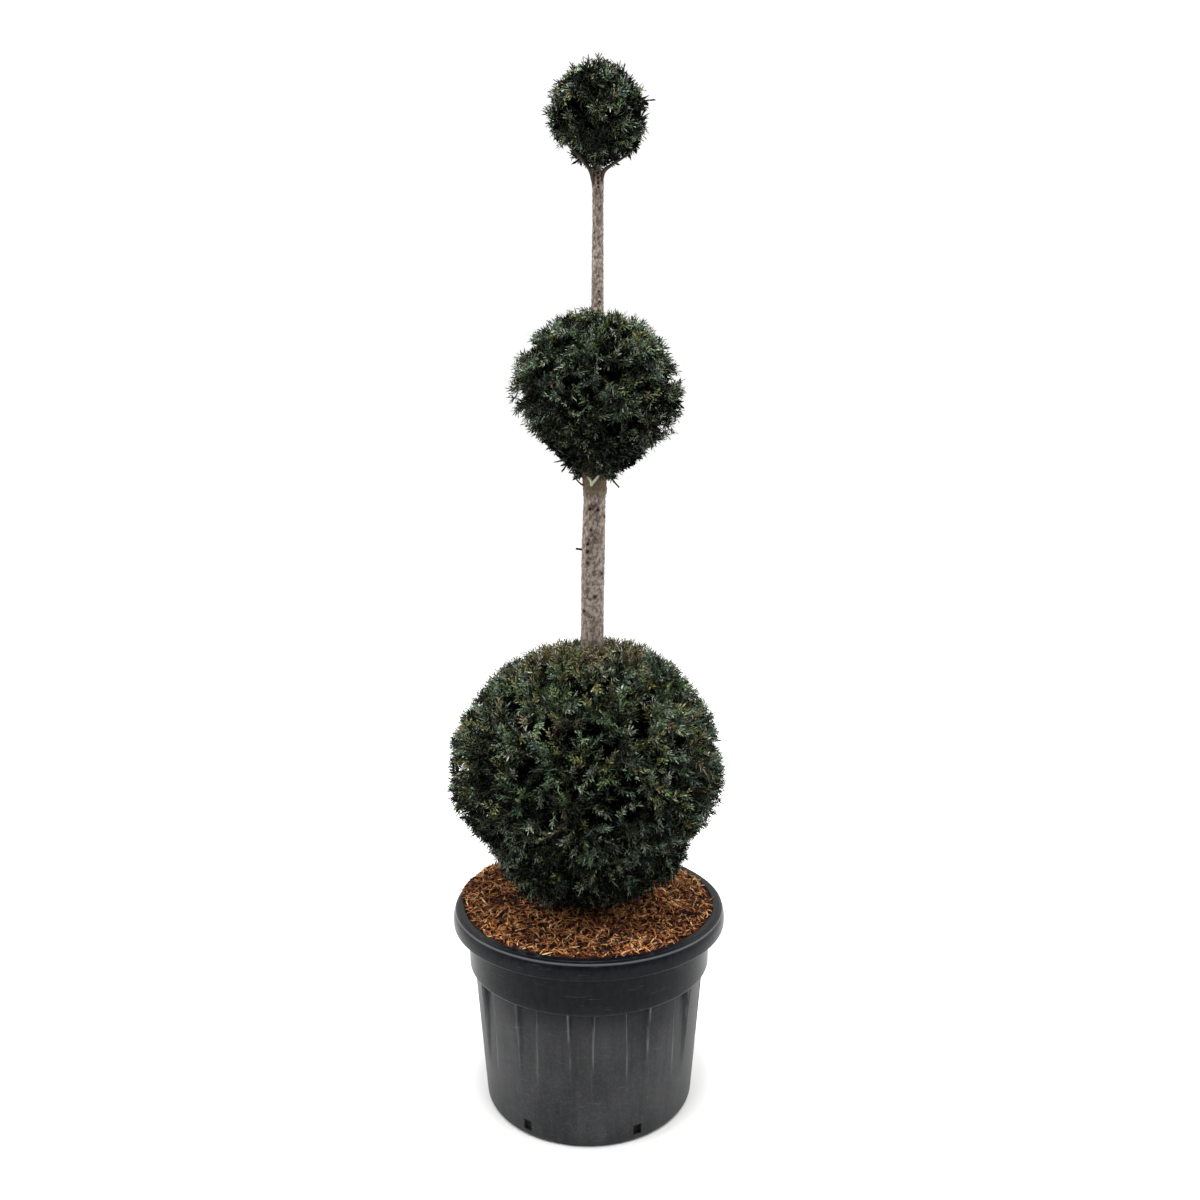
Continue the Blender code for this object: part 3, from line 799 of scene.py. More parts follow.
class BarkRecipe(Recipe):
    """A limb with the relief of flaking bark and the swellings and pits of pruning scars."""

    name = "bark_relief"
    objects = ("Knots",)
    counts = ("Sides",)
    sizes = ("Ring pitch", "Depth", "Flake width", "Flake height", "Knot height")
    # In flakes: the scale of their bends, a worn edge's width, and the roughness's scale and share.
    bend_scale = 0.7
    worn_edge = 0.28
    rough_scale = 0.8
    rough_share = 0.60
    # In radii of a scar: where it swells and sinks. The pit's depth is a share of the swelling.
    swell_from = 1.9
    swell_to = 0.7
    pit_from = 0.75
    pit_to = 0.25
    pit_depth = 2.2

    def flakes(self) -> Socket:
        """The height of the bark's plates and cracks, between 0 and 1.

        Returns:
            The height.
        """
        add, given = self.add, self.given
        place = add("GeometryNodeInputPosition")
        flake = {"X": given["Flake width"], "Y": given["Flake width"], "Z": given["Flake height"]}
        flake = add("ShaderNodeCombineXYZ", flake)
        cell = add(VECTOR_MATH, (place, flake), operation="DIVIDE")
        inputs = {"Vector": cell, "Scale": self.bend_scale, "Detail": 1.0}
        bend = add("ShaderNodeTexNoise", inputs, "Color")
        cell = add(VECTOR_MATH, (cell, bend), operation="ADD")
        edge = add("ShaderNodeTexVoronoi", {"Vector": cell, "Scale": 1.0}, feature="DISTANCE_TO_EDGE")
        plates = add(MAP_RANGE, {"Value": edge, "From Max": self.worn_edge})
        rough = add("ShaderNodeTexNoise", {"Vector": cell, "Scale": self.rough_scale, "Detail": 4.0})
        inputs = {"Factor": self.rough_share, "A": plates, "B": rough}
        return add("ShaderNodeMix", inputs, data_type="FLOAT")

    def scars(self) -> tuple[Socket, Socket]:
        """The swelling round the nearest scar and the pit in its middle, each between 0 and 1.

        Returns:
            The swelling and the pit.
        """
        add = self.add
        knots = add("GeometryNodeObjectInfo", {"Object": self.given["Knots"]}, "Geometry")
        inputs = {"Geometry": knots}
        near = add("GeometryNodeProximity", inputs, "Distance", target_element="POINTS")
        nearest = add("GeometryNodeSampleNearest", inputs)
        width = add("GeometryNodeInputNamedAttribute", {"Name": "girth"}, data_type="FLOAT")
        inputs = {"Geometry": knots, "Value": width, "Index": nearest}
        width = add("GeometryNodeSampleIndex", inputs, data_type="FLOAT")
        near = add(MATH, (near, width), operation="DIVIDE")
        inputs = {"Value": near, "From Min": self.swell_from, "From Max": self.swell_to}
        swell = add(MAP_RANGE, inputs, interpolation_type="SMOOTHSTEP")
        inputs = {"Value": near, "From Min": self.pit_from, "From Max": self.pit_to}
        pit = add(MAP_RANGE, inputs, interpolation_type="SMOOTHSTEP")
        return swell, pit

    def shape(self) -> Socket:
        """Draws a tube along the line and moves its skin in and out.

        Returns:
            The limb, with its "relief", "scar" and "ring" kept for its colours.
        """
        add, given = self.add, self.given
        line = add("GeometryNodeMeshToCurve", {"Mesh": given["Geometry"]})
        line = add("GeometryNodeCurveSplineType", {"Curve": line}, spline_type="CATMULL_ROM")
        inputs = {"Curve": line, "Length": given["Ring pitch"]}
        limb = self.tube(add("GeometryNodeResampleCurve", inputs, mode="LENGTH"))
        relief = self.flakes()
        swell, pit = self.scars()
        knot = add(MATH, (pit, -self.pit_depth, swell), operation="MULTIPLY_ADD")
        knot = add(MATH, (knot, given["Knot height"]), operation="MULTIPLY")
        depth = add(MATH, (relief, 0.5), operation="SUBTRACT")
        depth = add(MATH, (depth, given["Depth"], knot), operation="MULTIPLY_ADD")
        normal = add("GeometryNodeInputNormal")
        move = add(VECTOR_MATH, {0: normal, "Scale": depth}, operation="SCALE")
        for label, value in (("relief", relief), ("scar", pit), ("ring", swell)):
            inputs = {"Geometry": limb, "Name": label, "Value": value}
            limb = add("GeometryNodeStoreNamedAttribute", inputs, data_type="FLOAT")
        return add("GeometryNodeSetPosition", {"Geometry": limb, "Offset": move})


class TurnedRecipe(Recipe):
    """A turned shell with flutes pressed into its wall, from a profile of (radius, 0, height)."""

    name = "turned_shell"
    counts = ("Columns", "Stations", "Flutes")
    sizes = ("Phase", "Angle", "Depth", "Foot", "Shoulder", "Narrowing", "Flank")
    crowding = 0.40

    def crowded(self, bearing: Socket) -> Socket:
        """Crowds the columns together at the flutes' flanks: their spacing follows a double wave.

        Args:
            bearing: A column's even bearing.

        Returns:
            Its bearing in the crowd.
        """
        add, given = self.add, self.given
        wave = bearing
        steps = (("SUBTRACT", given["Phase"]), ("MULTIPLY", given["Flutes"]), ("MULTIPLY", 2.0))
        for operation, value in steps:
            wave = add(MATH, (wave, value), operation=operation)
        wave = add(MATH, (wave,), operation="SINE")
        crowd = add(MATH, (self.crowding, given["Flutes"]), operation="DIVIDE")
        return add(MATH, (wave, crowd, bearing), operation="MULTIPLY_ADD")

    def aside(self, bearing: Socket) -> Socket:
        """The angle between a bearing and the nearest flute's middle line.

        Args:
            bearing: The bearing.

        Returns:
            The angle.
        """
        add, given = self.add, self.given
        pitch = add(MATH, (TURN, given["Flutes"]), operation="DIVIDE")
        half = add(MATH, (pitch, 0.5), operation="MULTIPLY")
        steps = (("SUBTRACT", given["Phase"]), ("ADD", half), ("FLOORED_MODULO", pitch), ("SUBTRACT", half))
        for operation, value in steps:
            bearing = add(MATH, (bearing, value), operation=operation)
        return add(MATH, (bearing,), operation="ABSOLUTE")

    def inside(
        self, bearing: Socket, radius: Socket, share: Socket
    ) -> Socket:
        """How far a point lies inside a flute: 0 outside, 1 past the flank.

        Args:
            bearing: The point's bearing.
            radius: Its distance from the axis.
            share: Its height between the flutes' foot and the shoulder, from 0 to 1.

        Returns:
            A share from 0 to 1.
        """
        add, given = self.add, self.given
        inside = add(MAP_RANGE, {"Value": share, "To Min": given["Narrowing"], "To Max": 1.0})
        steps = (("MULTIPLY", given["Angle"]), ("MULTIPLY", 0.5), ("SUBTRACT", self.aside(bearing)))
        for operation, value in (*steps, ("MULTIPLY", radius)):
            inside = add(MATH, (inside, value), operation=operation)
        inputs = {"Value": inside, "From Max": given["Flank"]}
        return add(MAP_RANGE, inputs, interpolation_type="SMOOTHSTEP")

    def shape(self) -> Socket:
        """Wraps a grid round the axis, reads its radius from the profile and presses the flutes in.

        Returns:
            The shell, welded at its seam and its poles, with the places of its painted edge highlights kept
            for its colours.
        """
        add, given = self.add, self.given
        inputs = {"Vertices X": given["Columns"], "Vertices Y": given["Stations"]}
        inputs |= {"Size X": 1.0, "Size Y": 1.0}
        sheet = add("GeometryNodeMeshGrid", inputs, "Mesh")
        place = add("GeometryNodeInputPosition")
        shift = add(VECTOR_MATH, (place, (0.5, 0.5, 0.0)), operation="ADD")
        across = add("ShaderNodeSeparateXYZ", {"Vector": shift}, "X")
        last = add(MATH, (given["Stations"], 1.0), operation="SUBTRACT")
        along = add(MATH, (across.node.outputs["Y"], last), operation="MULTIPLY")
        along = add("FunctionNodeFloatToInt", {"Float": along})
        inputs = {"Geometry": given["Geometry"], "Value": place, "Index": along}
        station = add("GeometryNodeSampleIndex", inputs, data_type="FLOAT_VECTOR")
        radius = add("ShaderNodeSeparateXYZ", {"Vector": station}, "X")
        height = radius.node.outputs["Z"]
        bearing = add(MATH, (across, TURN), operation="MULTIPLY")
        bearing = self.crowded(bearing)
        inputs = {"Value": height, "From Min": given["Foot"], "From Max": given["Shoulder"]}
        share = add(MAP_RANGE, inputs)
        inside = self.inside(bearing, radius, share)
        under = add(MATH, (height, given["Shoulder"]), operation="LESS_THAN")
        wall = add("GeometryNodeInputNamedAttribute", {"Name": "wall"}, data_type="FLOAT")
        inputs = {"Geometry": given["Geometry"], "Value": wall, "Index": along}
        wall = add("GeometryNodeSampleIndex", inputs, data_type="FLOAT")
        press = share
        for factor in (inside, under, wall, given["Depth"]):
            press = add(MATH, (press, factor), operation="MULTIPLY")
        radius = add(MATH, (radius, press), operation="SUBTRACT")
        back = add(MATH, (radius, -1.0), operation="MULTIPLY")
        way = {"Z": height}
        for axis, wave, reach in (("X", "SINE", radius), ("Y", "COSINE", back)):
            turned = add(MATH, (bearing,), operation=wave)
            way[axis] = add(MATH, (turned, reach), operation="MULTIPLY")
        point = add("ShaderNodeCombineXYZ", way)
        # The flank's outer edge, which gets a painted highlight, stands where the press has just begun.
        rub = add(MAP_RANGE, {"Value": inside, "From Min": 0.01, "From Max": 0.10})
        gone = add(MAP_RANGE, {"Value": inside, "From Min": 0.55, "From Max": 0.15})
        for factor in (gone, under, share, wall):
            rub = add(MATH, (rub, factor), operation="MULTIPLY")
        inputs = {"Geometry": sheet, "Name": "rub", "Value": rub}
        sheet = add("GeometryNodeStoreNamedAttribute", inputs, data_type="FLOAT", domain="POINT")
        shell = add("GeometryNodeSetPosition", {"Geometry": sheet, "Position": point})
        return add("GeometryNodeMergeByDistance", {"Geometry": shell, "Distance": WELD})


class ScatterRecipe(Recipe):
    """Loose pieces strewn over a surface, lying nearly flat on it."""

    name = "strewn"
    objects = ("Loose piece",)
    counts = ("Seed",)
    sizes = ("Density", "Tilt", "Smallest")

    def shape(self) -> Socket:
        """Sets a turned and tilted piece at each of many points on the faces.

        Returns:
            The loose pieces.
        """
        add, given = self.add, self.given
        inputs = {"Mesh": given["Geometry"], "Density": given["Density"], "Seed": given["Seed"]}
        points = add("GeometryNodeDistributePointsOnFaces", inputs, "Points")
        inputs = {"Vector": points.node.outputs["Normal"]}
        turn = add("FunctionNodeAlignRotationToVector", inputs, axis="Z")
        limit = {"X": given["Tilt"], "Y": given["Tilt"], "Z": math.pi}
        return self.planted(points, turn, limit, "Loose piece")


# --- lines that the recipes follow ---


@dataclass
class Lines:
    """Polylines gathered for one run of a recipe."""

    points: list[Vector] = field(default_factory=list)
    edges: list[tuple[int, int]] = field(default_factory=list)
    girths: list[float] = field(default_factory=list)
    faces: list[Vector] = field(default_factory=list)

    def add(self, points: Sequence[Vector], girths: Sequence[float], face: Vector) -> None:
        """Adds one polyline.

        Args:
            points: The points that it runs through.
            girths: The wood's radius at each point.
            face: The side that its needles' upper faces look to.
        """
        first = len(self.points)
        self.points.extend(points)
        self.edges.extend((first + i, first + i + 1) for i in range(len(points) - 1))
        self.girths.extend(girths)
        self.faces.extend([face] * len(points))

    def mesh(self, name: str) -> Mesh:
        """Makes one mesh of all the lines, with their girths and faces as attributes.

        Args:
            name: The mesh's name.

        Returns:
            The mesh.
        """
        mesh = mesh_from(name, self.points, self.edges)
        keep_values(mesh, "girth", self.girths)
        flat = [value for face in self.faces for value in face]
        mesh.attributes.new("face", "FLOAT_VECTOR", "POINT").data.foreach_set("vector", flat)
        return mesh


# --- pot ---


@dataclass(frozen=True)
class Corner:
    """A corner of a profile: its radius and height, and the round on it."""

    radius: float
    height: float
    round: float = 0.0


def rounded(corners: Sequence[Corner], longest: float = 0.009) -> list[tuple[float, float]]:
    """Rounds a profile's corners and cuts its long runs short.

    Args:
        corners: The corners, in order.
        longest: The longest run left whole, in metres.

    Returns:
        The profile's (radius, height) points.
    """
    line: list[Vector] = []
    for index, corner in enumerate(corners):
        here = Vector((corner.radius, corner.height))
        if not corner.round:
            line.append(here)
            continue
        ends = []
        for other in (corners[index - 1], corners[index + 1]):
            run = Vector((other.radius, other.height)) - here
            ends.append(here + run.normalized() * min(corner.round, 0.45 * run.length))
        for step in range(ARC_POINTS):
            share = step / (ARC_POINTS - 1)
            first, last = ends[0].lerp(here, share), here.lerp(ends[1], share)
            line.append(first.lerp(last, share))
    points = [tuple(line[0])]
    for start, end in zip(line, line[1:]):
        parts = max(1, math.ceil((end - start).length / longest))
        points.extend(tuple(start.lerp(end, part / parts)) for part in range(1, parts + 1))
    return points


@dataclass
class NurseryPot:
    """The fluted container: a tapered wall, a plain collar, a rolled lip and drain holes."""

    top: float = 0.429
    base_radius: float = 0.2265
    shoulder: float = 0.300
    wall_top_radius: float = 0.2535
    collar_radius: float = 0.2640
    floor: float = 0.012
    wall: float = 0.005
    lip_radius: float = 0.299
    lip_bottom: float = 0.391
    rim_radius: float = 0.2930
    mouth_radius: float = 0.2745
    mouth_rise: float = 0.018
    groove: float = 0.0012
    flutes: int = 13
    flute_phase: float = math.radians(-3.2)
    flute_angle: float = math.radians(13.6)
    flute_depth: float = 0.013
    flute_foot: float = 0.107
    flute_narrowing: float = 0.8
    flank: float = 0.0085
    columns_per_flute: int = 36
    holes: int = 6
    hole_phase: float = math.radians(-33.5)
    hole_width: float = 0.0186
    hole_height: float = 0.022
    hole_bottom: float = 0.0145
    drill_depth: float = 0.03
    foot_height: float = 0.010
    shoulder_round: float = 0.0006
    sharp_angle: float = math.radians(38)

    def wall_radius(self, height: float) -> float:
        """The outer wall's radius between the foot and the collar."""
        share = (height - self.foot_height) / (self.shoulder - self.foot_height)
        return between(self.base_radius, self.wall_top_radius, share)

    def outside(self) -> list[Corner]:
        """The outer side's corners, from the mouth down to the foot."""
        top, lip = self.top, self.lip_radius
        return [
            Corner(self.mouth_radius, top, 0.003),
            Corner(self.rim_radius - 0.0035, top, 0.003),
            Corner(self.rim_radius - 0.0022, top - 0.0030 - self.groove, 0.0010),
            Corner(self.rim_radius - 0.0005, top - 0.0034 - self.groove, 0.0006),
            Corner(self.rim_radius + 0.0010, top - 0.0040, 0.0010),
            Corner(lip - 0.0012, top - 0.0140, 0.005),
            Corner(lip, top - 0.0260, 0.006),
            Corner(lip - 0.0006, self.lip_bottom + 0.0020, 0.0018),
            Corner(lip - 0.0030, self.lip_bottom, 0.0012),
            Corner(self.collar_radius + 0.0012, self.lip_bottom + 0.0005, 0.002),
            Corner(self.collar_radius, self.shoulder + 0.0035, 0.0035),
            Corner(self.collar_radius - 0.0030, self.shoulder, 0.0012),
            Corner(self.wall_top_radius, self.shoulder, 0.0010),
            Corner(self.wall_radius(self.shoulder - 0.0012), self.shoulder - 0.0012),
            Corner(self.base_radius, 0.008, 0.006),
            Corner(self.base_radius - 0.0060, 0.0, 0.004),
        ]

    def inside(self) -> list[Corner]:
        """The inner side's corners, from the floor up to the mouth."""
        ledge = self.shoulder + 0.0035 + self.wall
        return [
            Corner(self.wall_radius(self.floor) - self.wall, self.floor, 0.004),
            Corner(self.wall_radius(self.flute_foot) - self.wall, self.flute_foot),
            Corner(self.wall_top_radius - self.flute_depth - self.wall, self.shoulder),
            Corner(self.collar_radius - self.wall, ledge),
            Corner(self.collar_radius - self.wall, self.lip_bottom),
            Corner(self.mouth_radius, self.lip_bottom + self.mouth_rise),
        ]

    def profile(self) -> tuple[list[tuple[float, float]], int]:
        """The whole profile and the place in it where the outer side starts."""
        inner = rounded([Corner(0.0, self.floor), *self.inside()], longest=0.04)
        outer = rounded([*self.outside(), Corner(0.0, 0.0)])
        return inner + outer, len(inner)

    def drilled(self, mesh: Mesh, material: bpy.types.Material) -> Mesh:
        """Cuts the drain holes.

        Args:
            mesh: The whole shell.
            material: What the cut faces are made of.

        Returns:
            The shell with its holes.
        """
        shell = holder_of("pot_shell", mesh)
        drills = bpy.data.collections.new("drain_drills")
        bpy.context.scene.collection.children.link(drills)
        height = self.hole_bottom + self.hole_height / 2
        for index in range(self.holes):
            bearing = self.hole_phase + index * TURN / self.holes
            bpy.ops.mesh.primitive_cube_add(size=1.0)
            drill = bpy.context.object
            for owner in list(drill.users_collection):
                owner.objects.unlink(drill)
            drills.objects.link(drill)
            radius = self.wall_radius(height)
            drill.location = (radius * math.sin(bearing), -radius * math.cos(bearing), height)
            drill.rotation_euler = (0.0, 0.0, bearing)
            drill.scale = (self.hole_width, self.drill_depth, self.hole_height)
            drill.data.materials.append(material)
        cut = shell.modifiers.new("drain", "BOOLEAN")
        cut.operation = "DIFFERENCE"
        cut.operand_type = "COLLECTION"
        cut.collection = drills
        cut.solver = "EXACT"
        mesh = evaluated(shell)
        for drill in list(drills.objects):
            bpy.data.objects.remove(drill, do_unlink=True)
        bpy.data.collections.remove(drills)
        return mesh

    def build(self, turner: TurnedRecipe) -> None:
        """Builds the pot as one closed shell.

        Args:
            turner: The recipe that turns and flutes it.
        """
        points, start = self.profile()
        source = mesh_from("pot_profile", [(radius, 0.0, height) for radius, height in points])
        walls = [float(place >= start) for place in range(len(points))]
        keep_values(source, "wall", walls)
        material = MouldedPolypropylene().material()
        mesh = turner.run(
            "pot_shell",
            source,
            columns=self.flutes * self.columns_per_flute + 1,
            stations=len(points),
            flutes=self.flutes,
            phase=self.flute_phase,
            angle=self.flute_angle,
            depth=self.flute_depth,
            foot=self.flute_foot,
            shoulder=self.shoulder - self.shoulder_round,
            narrowing=self.flute_narrowing,
            flank=self.flank,
            material=material,
        )
        # Wrapped round the axis, the grid's faces look inwards.
        mesh.flip_normals()
        mesh = self.drilled(mesh, material)
        mesh.shade_smooth()
        mesh.set_sharp_from_angle(angle=self.sharp_angle)
        add_piece("pot_moulded_shell", mesh, "pot_plastic", ["pot"])


# --- mulch ---


@dataclass(frozen=True)
class StrandLayer:
    """One layer of coir strands: a strand's size and bend, and how densely and how flat they lie."""

    fibre: Fibre
    length: float
    girth: float
    bend: float
    density: int
    tilt: float


@dataclass(frozen=True)
class ChipLayer:
    """One layer of wood chips: a chip's size and how densely they lie."""

    timber: Timber
    length: float
    width: float
    density: int


@dataclass
class Mulch:
    """The coir mulch: a mound of crumbs under strewn strands and a few pale chips."""

    seat_height: float = 0.4400
    edge_height: float = 0.4255
    seat_radius: float = 0.055
    edge_radius: float = 0.2737
    bottom: float = 0.4053
    back_bank: float = 0.014
    bank_spread: float = 0.92
    rim_top: float = 0.429
    spill: float = 0.0185
    spill_lift: float = 0.009
    spill_fall: float = 0.0035
    spill_bearing: float = 132.0
    spill_spread: float = 62.0
    lumps: float = 0.0055
    lump_size: float = 0.022
    edge_lumps: float = 0.3
    rim_gaps: tuple[float, float] = (0.0006, 0.0004)
    edge_drops: tuple[float, float] = (0.008, 0.010)
    rings: int = 60
    segments: int = 150
    strand_stations: int = 5
    strand_kink: float = 0.04
    smallest_strand: float = 0.45
    strands: tuple[StrandLayer, ...] = (
        StrandLayer(Fibre.RUSSET, 0.026, 0.0022, 0.07, 6400, 0.50),
        StrandLayer(Fibre.ORANGE, 0.031, 0.0020, 0.11, 7200, 0.56),
        StrandLayer(Fibre.STRAW, 0.030, 0.0017, 0.16, 4600, 0.60),
        StrandLayer(Fibre.UMBER, 0.024, 0.0024, 0.06, 3400, 0.42),
    )
    chip_thickness: float = 0.0020
    chip_tilt: float = 0.6
    smallest_chip: float = 0.40
    chips: tuple[ChipLayer, ...] = (
        ChipLayer(Timber.PALE, 0.021, 0.0062, 520),
        ChipLayer(Timber.RED, 0.016, 0.0060, 3000),
    )

    def spilt(self, x: float, y: float) -> float:
        """How far the mulch spills over the rim at a bearing, from 0 to 1."""
        turn = (math.degrees(math.atan2(y, x)) - self.spill_bearing + 180) % 360 - 180
        return eased(1.0, 0.55, abs(turn) / self.spill_spread) if abs(turn) < self.spill_spread else 0.0

    def height(self, x: float, y: float) -> float:
        """The mound's height: level at the stem, lower at the rim, banked up at the back.

        Args:
            x: The place across.
            y: The place towards the back.

        Returns:
            The height.
        """
        radius = math.hypot(x, y)
        outwards = max(0.0, min(1.0, (radius - self.seat_radius) / (self.edge_radius - self.seat_radius)))
        fall = (self.seat_height - self.edge_height) * outwards**2
        wave = math.sin(math.pi * min(1.0, outwards * self.bank_spread))
        bank = self.back_bank * max(0.0, y / self.edge_radius) * wave
        over = self.spill_lift * self.spilt(x, y) * eased(0.5, 0.95, outwards)
        beyond = max(0.0, radius - self.edge_radius) / self.spill
        return self.seat_height - fall + bank + over - self.spill_fall * beyond

    def lumpy(self, x: float, y: float) -> float:
        """The mound's height with its lumps, which die out at the stem and at the rim."""
        radius = math.hypot(x, y)
        lump = noise.fractal(Vector((x, y, 0.3)) / self.lump_size, 1.0, 2.0, 4) * self.lumps
        at_edge = eased(0.95, 1.0, radius / self.edge_radius)
        lump *= eased(0.03, 0.06, radius) * between(1.0, self.edge_lumps, at_edge)
        return self.height(x, y) + lump

    def shell(self) -> tuple[list[tuple[float, ...]], list[Face]]:
        """The closed mound's points and faces, ring by ring from the middle of its top.

        Returns:
            The points and the faces.
        """
        points = [(0.0, 0.0, self.height(0.0, 0.0))]
        turns = [TURN * step / self.segments for step in range(self.segments)]
        ways = [(math.cos(turn), math.sin(turn)) for turn in turns]
        reaches = [self.edge_radius + self.spill * self.spilt(*way) for way in ways]
        for ring in range(1, self.rings + 1):
            for way, reach in zip(ways, reaches):
                x, y = (reach * ring / self.rings * part for part in way)
                points.append((x, y, self.lumpy(x, y)))
        # Where it spills over, the heap's underside rests on the rim and goes down inside it.
        for inwards, (gap, drop) in enumerate(zip(self.rim_gaps, self.edge_drops)):
            for way, reach in zip(ways, reaches):
                x, y = ((self.edge_radius if inwards else reach) * part for part in way)
                on_rim = reach > self.edge_radius
                points.append((x, y, self.rim_top + gap if on_rim else self.height(x, y) - drop))
        points.extend((self.edge_radius * x, self.edge_radius * y, self.bottom) for x, y in ways)
        points.append((0.0, 0.0, self.bottom))
        faces = []
        for step in range(self.segments):
            after = (step + 1) % self.segments
            faces.append((0, 1 + step, 1 + after))
            for ring in range(self.rings + 2):
                inner, outer = 1 + ring * self.segments, 1 + (ring + 1) * self.segments
                faces.append((inner + step, outer + step, outer + after, inner + after))
            base = 1 + (self.rings + 2) * self.segments
            faces.append((base + step, len(points) - 1, base + after))
        return points, faces

    def mound(self, material: bpy.types.Material) -> Mesh:
        """The closed lumpy mound, in its material."""
        points, faces = self.shell()
        mesh = mesh_from("mulch_mound", points, faces=faces)
        mesh.materials.append(material)
        mesh.shade_smooth()
        return mesh

    def surface(self) -> Mesh:
        """The open top face, inside the rim, that loose pieces are strewn on."""
        points, faces = self.shell()
        top_points = 1 + self.rings * self.segments
        top = [face for face in faces if max(face) < top_points - self.segments]
        return mesh_from("mulch_surface", points[:top_points], faces=top)

    def strand(self, layer: StrandLayer, seed: int) -> Mesh:
        """A three-sided curved strand of coir, lying along X.

        Args:
            layer: Its size, with its bend as a share of its length.
            seed: The seed of its kinks.

        Returns:
            The strand.
        """
        rng = random.Random(seed)
        length, last = layer.length, self.strand_stations - 1
        points, faces = [], []
        for station in range(self.strand_stations):
            share = station / last
            arch = math.sin(math.pi * share)
            x = (share - 0.5) * length
            y = layer.bend * length * arch + rng.uniform(-self.strand_kink, self.strand_kink) * length
            z = 0.10 * length * arch * rng.uniform(0.3, 1.0) + layer.girth
            radius = layer.girth * between(0.35, 1.0, arch)
            for side in range(3):
                angle = TURN * side / 3
                points.append((x, y + radius * math.cos(angle), z + radius * math.sin(angle)))
        for station in range(last):
            for side in range(3):
                a, b = station * 3 + side, station * 3 + (side + 1) % 3
                faces.append((a, b, b + 3, a + 3))
        faces.extend([(2, 1, 0), tuple(range(3 * last, 3 * last + 3))])
        return mesh_from("strand", points, faces=faces)

    def chip(self, layer: ChipLayer) -> Mesh:
        """A split wood chip with slanted ends.

        Args:
            layer: Its size.

        Returns:
            The chip.
        """
        points = []
        for z, grow in ((0.0, 1.0), (self.chip_thickness, 0.82)):
            for x, y in ((-0.5, -0.42), (0.38, -0.5), (0.5, 0.30), (-0.40, 0.5)):
                points.append((x * layer.length * grow, y * layer.width * grow, z))
        sides = [(i, (i + 1) % 4, (i + 1) % 4 + 4, i + 4) for i in range(4)]
        return mesh_from("chip", points, faces=[(3, 2, 1, 0), (4, 5, 6, 7), *sides])

    def strew(self, scatter: ScatterRecipe, name: str, loose: Mesh, **values: Any) -> None:
        """Strews copies of a loose piece over the mound and adds them as one piece.

        Args:
            scatter: The recipe that strews them.
            name: The piece's name.
            loose: The loose piece's mesh.
            **values: The recipe's other inputs.
        """
        source = holder_of("loose_piece", loose)
        mesh = scatter.run(name, self.surface(), loose_piece=source, **values)
        bpy.data.objects.remove(source, do_unlink=True)
        add_piece(name, mesh, "coir_mulch")

    def build(self, scatter: ScatterRecipe) -> None:
        """Builds the mound and strews the strands and chips over it.

        Args:
            scatter: The recipe that strews loose pieces.
        """
        add_piece("mulch_mound", self.mound(COIR_CRUMBS.material()), "coir_mulch", ["mulch"])
        for seed, layer in enumerate(self.strands, 3):
            label = layer.fibre.name.lower()
            base, shade = layer.fibre.value
            finish = CoirStrand(f"coir_{label}", base=base, shade=shade)
            values = {"density": layer.density, "tilt": layer.tilt, "smallest": self.smallest_strand}
            values |= {"seed": seed, "material": finish.material()}
            self.strew(scatter, f"mulch_strands_{label}", self.strand(layer, seed), **values)
        for seed, layer in enumerate(self.chips, 11):
            label = layer.timber.name.lower()
            base, shade = layer.timber.value
            finish = WoodChip(f"wood_chip_{label}", base=base, shade=shade)
            values = {"density": layer.density, "tilt": self.chip_tilt, "smallest": self.smallest_chip}
            values |= {"seed": seed, "material": finish.material()}
            self.strew(scatter, f"mulch_chips_{label}", self.chip(layer), **values)


# --- stem and boughs ---


@dataclass(frozen=True)
class Limb:
    """A bough, twig or stub: where it leaves the stem, its bearing, reach, rise and radius."""

    node: str
    height: float
    bearing: float
    reach: float
    rise: float
    radius: float
    tip_share: float = 0.55
    routes: tuple[Route, ...] = ()


@dataclass(frozen=True)
class Knot:
    """A pruning scar on the stem: its height, its bearing from the front and its radius."""

    height: float
    bearing: float
    radius: float = 0.0042


@dataclass(frozen=True)
class Relief:
    """How finely a limb is drawn, and the real size of its bark's flakes and scars."""

    ring_pitch: float
    sides: int
    depth: float
    flake_width: float
    flake_height: float
    knot_height: float = 0.0


Route = tuple[tuple[float, float, float], ...]
LEFT_PRONG: Route = (
    (0.0165, -0.003, 1.970), (0.0105, -0.006, 1.990), (0.0035, -0.009, 2.010),
    (-0.0150, -0.011, 2.033), (-0.0361, -0.013, 2.055), (-0.0500, -0.015, 2.066),
)
RIGHT_PRONG: Route = (
    (0.0222, -0.003, 1.972), (0.0270, -0.006, 1.992), (0.0335, -0.009, 2.008),
    (0.0515, -0.011, 2.0216), (0.0780, -0.012, 2.0380), (0.0980, -0.014, 2.0540),
)
THIN_TWIG: Route = (
    (-0.004, -0.008, 1.347), (-0.018, -0.012, 1.354), (-0.030, -0.013, 1.370),
    (-0.0366, -0.014, 1.398),
)
GREY_TWIG: Route = (
    (0.030, -0.012, 1.384), (0.036, -0.014, 1.379), (0.050, -0.020, 1.363),
    (0.0652, -0.026, 1.346),
)
# The pruned stub is a fork that was cut short on both arms.
STUB_RIGHT_ARM: Route = (
    (0.0060, -0.0170, 1.348), (0.0073, -0.0275, 1.355), (0.0148, -0.0360, 1.3635),
    (0.0211, -0.046, 1.3724),
)
STUB_LEFT_ARM: Route = (
    (0.0068, -0.0180, 1.350), (0.0050, -0.0300, 1.3605), (-0.0011, -0.0360, 1.3695),
)


